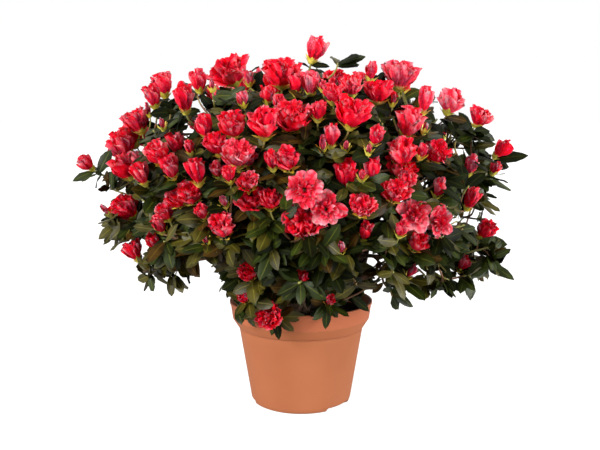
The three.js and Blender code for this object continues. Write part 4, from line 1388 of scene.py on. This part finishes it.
def potFinish():
    # terracotta-coloured plastic: even, satin, with faint flow streaks, fine moulding grain and dusty
    # scuffs; a paler colour on the slope under the band is painted light on that down-turned face, and a
    # brighter, redder colour on the band is painted light that lifts the foliage's shade on it
    plastic = Finish("terracotta plastic", 0.52, Specular_IOR_Level=0.08)
    cloud = plastic.noise(14, 3)
    streak = plastic.noise(30, 3, (1, 1, 0.12))
    grain = plastic.noise(2600, 2)
    base = plastic.ramp(cloud, [(0.3, "905436"), (0.7, "975a3b")])
    base = plastic.blend(plastic.times(streak, 0.15), base, "936246")
    height = plastic.split(plastic.node("ShaderNodeTexCoord").outputs["Object"])["Z"]
    stepZ, bandZ = (pot["stepZ"] + 0.5) * mm, (pot["bandBottomZ"] + 0.5) * mm
    sharp = 700.0  # over one and a half millimetres from one colour to the next
    above = plastic.times(plastic.less(height, stepZ), sharp, clamp=True)
    under = plastic.times(plastic.less(bandZ, height), sharp, clamp=True)
    # painted light: the slope between the step and the band is paler, as if lit from below
    base = plastic.blend(plastic.times(above, under), base, "9b5b3b")
    # painted light: the band is brighter and redder, against the shade that the foliage casts on it
    paintedBandLight = plastic.times(plastic.less(height, bandZ), sharp, clamp=True)
    plastic.colour(plastic.blend(paintedBandLight, base, "9f5a3d"))
    plastic.bump(grain, 0.12, 0.0002)
    plastic.rough(plastic.noise(60, 4), 0.46, 0.62)
    return plastic.material


def footInside(gap):
    # the radius at the inner foot, that far inside the wall's outer slope
    slope = (pot["stepRadius"] - pot["ledge"] - pot["cornerRadius"]) / (pot["stepZ"] - pot["cornerZ"])
    return pot["cornerRadius"] + slope * (pot["cornerFloor"] + 1 - pot["cornerZ"]) - gap


def potProfile():
    # from the middle of the underside out and up to the rim, and down again inside
    wall, stepZ, bandZ, rim, top = (
        pot[key] for key in ("wall", "stepZ", "bandBottomZ", "rimRadius", "height"))
    stepIn, lipZ, mouth = pot["stepRadius"] - pot["ledge"], top - pot["lip"], rim - wall - pot["lipProud"]
    foot = [(axisGap, 0), (44, 0), (46.5, 0), (pot["footRadius"], 0), (pot["footRadius"] + 3.4, 1.75),
            (pot["cornerRadius"], pot["cornerZ"])]
    outside = [(stepIn - 0.2, stepZ - 1.8), (stepIn - pot["groove"], stepZ - 1.4),
               (stepIn - pot["groove"], stepZ - 0.2), (pot["stepRadius"], stepZ + 0.2),
               (pot["bandBottomRadius"] - 0.3, bandZ - 0.5), (pot["bandBottomRadius"], bandZ),
               (rim - pot["lipProud"], lipZ), (rim, lipZ + 0.2), (rim, top - 0.3), (rim - 0.5, top),
               (mouth + 0.4, top), (mouth, top - 0.5)]
    inside = [(pot["bandBottomRadius"] - wall, bandZ + 1), (stepIn - wall, stepZ + 1),
              (footInside(wall), pot["cornerFloor"] + 1),
              (pot["floorRadius"] + pot["cornerRun"], pot["cornerFloor"]), (pot["floorRadius"], pot["floor"]),
              (axisGap, pot["floor"])]
    return densified(rounded(foot + outside + inside, pot["edgeRadius"], 3), pot["longest"])


def potPiece():
    # the profile turned round the axis; in each notch the foot's corner lifts off the ground
    profile = potProfile()
    points, angle = turnedSurface(profile, pot["segments"])
    near = np.zeros_like(angle)
    for centre in pot["notchCentres"]:
        off = np.abs((np.degrees(angle) - centre + 180) % 360 - 180)
        near = np.maximum(near, smooth((pot["notchWidth"] / 2 - off) / 2.2 + 0.5))
    radius = np.hypot(points[..., 0], points[..., 1])
    raised = pot["notchHeight"] * near[None] * smooth((radius - pot["notchInner"] + 0.6) / 1.2)
    underFoot = (np.arange(len(profile)) < len(profile) // 2)[:, None] & (points[..., 2] < 9)
    points[..., 2] = np.where(underFoot, np.maximum(points[..., 2], raised), points[..., 2])
    quads = gridQuads(1, *points.shape[:2], ringed=True)
    meshPiece("pot_plastic", points, quads, "pot", ["pot"], potFinish())


def soilFinish():
    # dark damp peat with pale fibres
    peat = Finish("potting soil", 0.95)
    clod = peat.noise(350, 6)
    speck = peat.noise(1800, 2)
    base = peat.ramp(clod, [(0.3, "1c130d"), (0.55, "3a2a20"), (0.75, "57422f")])
    peat.colour(peat.blend(peat.times(speck, 0.3), base, "6e5a44"))
    peat.bump(clod, 0.9, 0.002)
    return peat.material


def soilLevel(r, edge):
    # flat in the middle, and falling evenly to the edge
    down = np.clip((r - soil["flatRadius"]) / (edge - soil["flatRadius"]), 0, 1)
    return mix(soil["crownZ"], soil["edgeZ"], down)


def soilBed(edge, gap):
    # the soil's level with roughness on it, closed down the wall
    floorZ, cornerZ = pot["floor"] + soil["gap"], pot["cornerFloor"] + soil["gap"]
    side = [(axisGap, floorZ), (pot["floorRadius"] - soil["gap"], floorZ),
            (pot["floorRadius"] + pot["cornerRun"] - soil["gap"], cornerZ),
            (footInside(gap), pot["cornerFloor"] + 1.4),
            (pot["stepRadius"] - pot["ledge"] - gap, pot["stepZ"] + 1.4), (edge - 0.2, soil["edgeZ"] - 1.5)]
    r = np.maximum(edge * (1 - np.linspace(0, 1, soil["rings"])), axisGap)
    surface = np.stack([r, soilLevel(r, edge)], -1)
    profile = np.concatenate([densified(np.array(side, float), soil["longest"]), surface])
    points, _ = turnedSurface(profile, soil["segments"])
    top = np.arange(len(profile)) >= len(profile) - soil["rings"] + 2
    lumps = roughness(points, 16, 3) + 0.5 * roughness(points, 5, 4)
    points[..., 2] += np.where(top[:, None], lumps - 0.6, 0)
    return points, gridQuads(1, *points.shape[:2], ringed=True)


def soilCrumbs(edge):
    # small balls scattered over the bed, each with a roughened radius
    rng = np.random.default_rng(11)
    count, rows, sides = soil["crumbs"], soil["crumbRows"], soil["crumbSides"]
    spot = np.sqrt(rng.uniform(0.02, 0.96, count)) * (edge - 2)
    bearing = rng.uniform(0, 2 * np.pi, count)
    size = rng.uniform(0.5, 1.7, count)[:, None, None]
    centre = np.stack([spot * np.cos(bearing), spot * np.sin(bearing), soilLevel(spot, edge) - 0.3], -1)
    lat = np.linspace(-np.pi / 2 + 0.02, np.pi / 2 - 0.02, rows)[None, :, None]
    lon = (2 * np.pi * np.arange(sides) / sides)[None, None, :]
    ball = np.stack([np.cos(lat) * np.cos(lon), np.cos(lat) * np.sin(lon), np.sin(lat) + 0 * lon], -1)
    radius = size * (1 + 0.35 * rng.uniform(-1, 1, (count, rows, sides)))
    return centre[:, None, None] + ball * radius[..., None], gridQuads(count, rows, sides, ringed=True)


def soilPiece():
    # a crumbly bed just inside the pot's wall, with loose crumbs on it
    gap = soil["gap"] + pot["wall"]
    edge = pot["bandBottomRadius"] - gap
    points, quads = together([soilBed(edge, gap), soilCrumbs(edge)])
    meshPiece("soil_bed", points, quads, "soil", ["potting_soil"], soilFinish())


potPiece()
soilPiece()


# Stage, light and camera

studio = {
    "floorSize": 60.0, "backdrop": 1.0, "ambient": 0.93, "floorGlow": 0.92, "floorGlowOnPlant": 0.30,
    "sunFrom": (-1.0, -1.0, 0.68), "sunStrength": 3.7, "sunAngle": 24, "aim": (0, 0, 0.24),
}
boxes = {  # place, width and power of each soft box
    "key_light": ((-2.0, -1.3, 0.7), 1.1, 24),
    "fill_light": ((2.1, -1.0, 0.4), 1.2, 86),
}


def floorPiece():
    # a square of white paper that shines by itself, so that the shadow on it stays faint, and yet lights the
    # plant only a little; its far edge lies out of sight
    half = studio["floorSize"] / 2 / mm
    corners = np.array([[-half, -half, 0], [half, -half, 0], [half, half, 0], [-half, half, 0]])
    mesh = bpy.data.meshes.new("studio_floor")
    mesh.from_pydata((corners * mm).tolist(), [], [(0, 1, 2, 3)])
    floor = newObject("studio_floor", mesh)
    paper = Finish("studio paper", 0.9)
    paper.colour(paper.ramp(paper.noise(3, 2), [(0.3, "767675"), (0.7, "7c7c7b")]))
    paper.shader.inputs["Emission Color"].default_value = (1, 1, 1, 1)
    seen = paper.node("ShaderNodeLightPath").outputs["Is Camera Ray"]
    glow = paper.times(seen, studio["floorGlow"] - studio["floorGlowOnPlant"])
    glow = paper.plus(glow, studio["floorGlowOnPlant"])
    paper.join(glow, paper.shader.inputs["Emission Strength"])
    mesh.materials.append(paper.material)


def shineAlong(name, light, way):
    # the light as an object that shines that way
    holder = newObject(name, light)
    holder.rotation_euler = way.to_track_quat("-Z", "Y").to_euler()
    return holder


def softBox(name, place, width, power):
    # a square area light turned to the plant
    light = bpy.data.lights.new(name, "AREA")
    light.energy = power
    light.size = width
    shineAlong(name, light, Vector(studio["aim"]) - Vector(place)).location = place


def broadLight():
    # an even light from the upper left front, as from a large far window
    light = bpy.data.lights.new("window_light", "SUN")
    light.energy = studio["sunStrength"]
    light.angle = np.radians(studio["sunAngle"])
    shineAlong("window_light", light, -Vector(studio["sunFrom"]))


def whiteRoom():
    # the room lights the plant softly, and its far wall is white paper
    world = bpy.data.worlds.new("studio")
    world.use_nodes = True
    nodes, links = world.node_tree.nodes, world.node_tree.links
    both = nodes.new("ShaderNodeMixShader")
    shades = (nodes["Background"], nodes.new("ShaderNodeBackground"))
    for k, (shade, key) in enumerate(zip(shades, ("ambient", "backdrop"))):
        shade.inputs["Strength"].default_value = studio[key]
        shade.inputs["Color"].default_value = (1, 1, 1, 1)
        links.new(shade.outputs["Background"], both.inputs[k + 1])
    links.new(nodes.new("ShaderNodeLightPath").outputs["Is Camera Ray"], both.inputs["Fac"])
    links.new(both.outputs["Shader"], nodes["World Output"].inputs["Surface"])
    bpy.context.scene.world = world


def studioLight():
    # everything that lights the plant, and the plain view of its colours
    floorPiece()
    broadLight()
    for name, numbers in boxes.items():
        softBox(name, *numbers)
    whiteRoom()
    bpy.context.scene.view_settings.view_transform = "Standard"


def photoCamera():
    # the camera of the photograph
    camera = bpy.data.cameras.new("camera")
    camera.lens = view["lens"]
    camera.sensor_width = view["sensor"]
    holder = newObject("camera", camera)
    holder.location = view["place"]
    holder.rotation_euler = (np.radians(90 - view["pitch"]), 0, 0)
    bpy.context.scene.camera = holder


studioLight()
photoCamera()

print("scene ready")
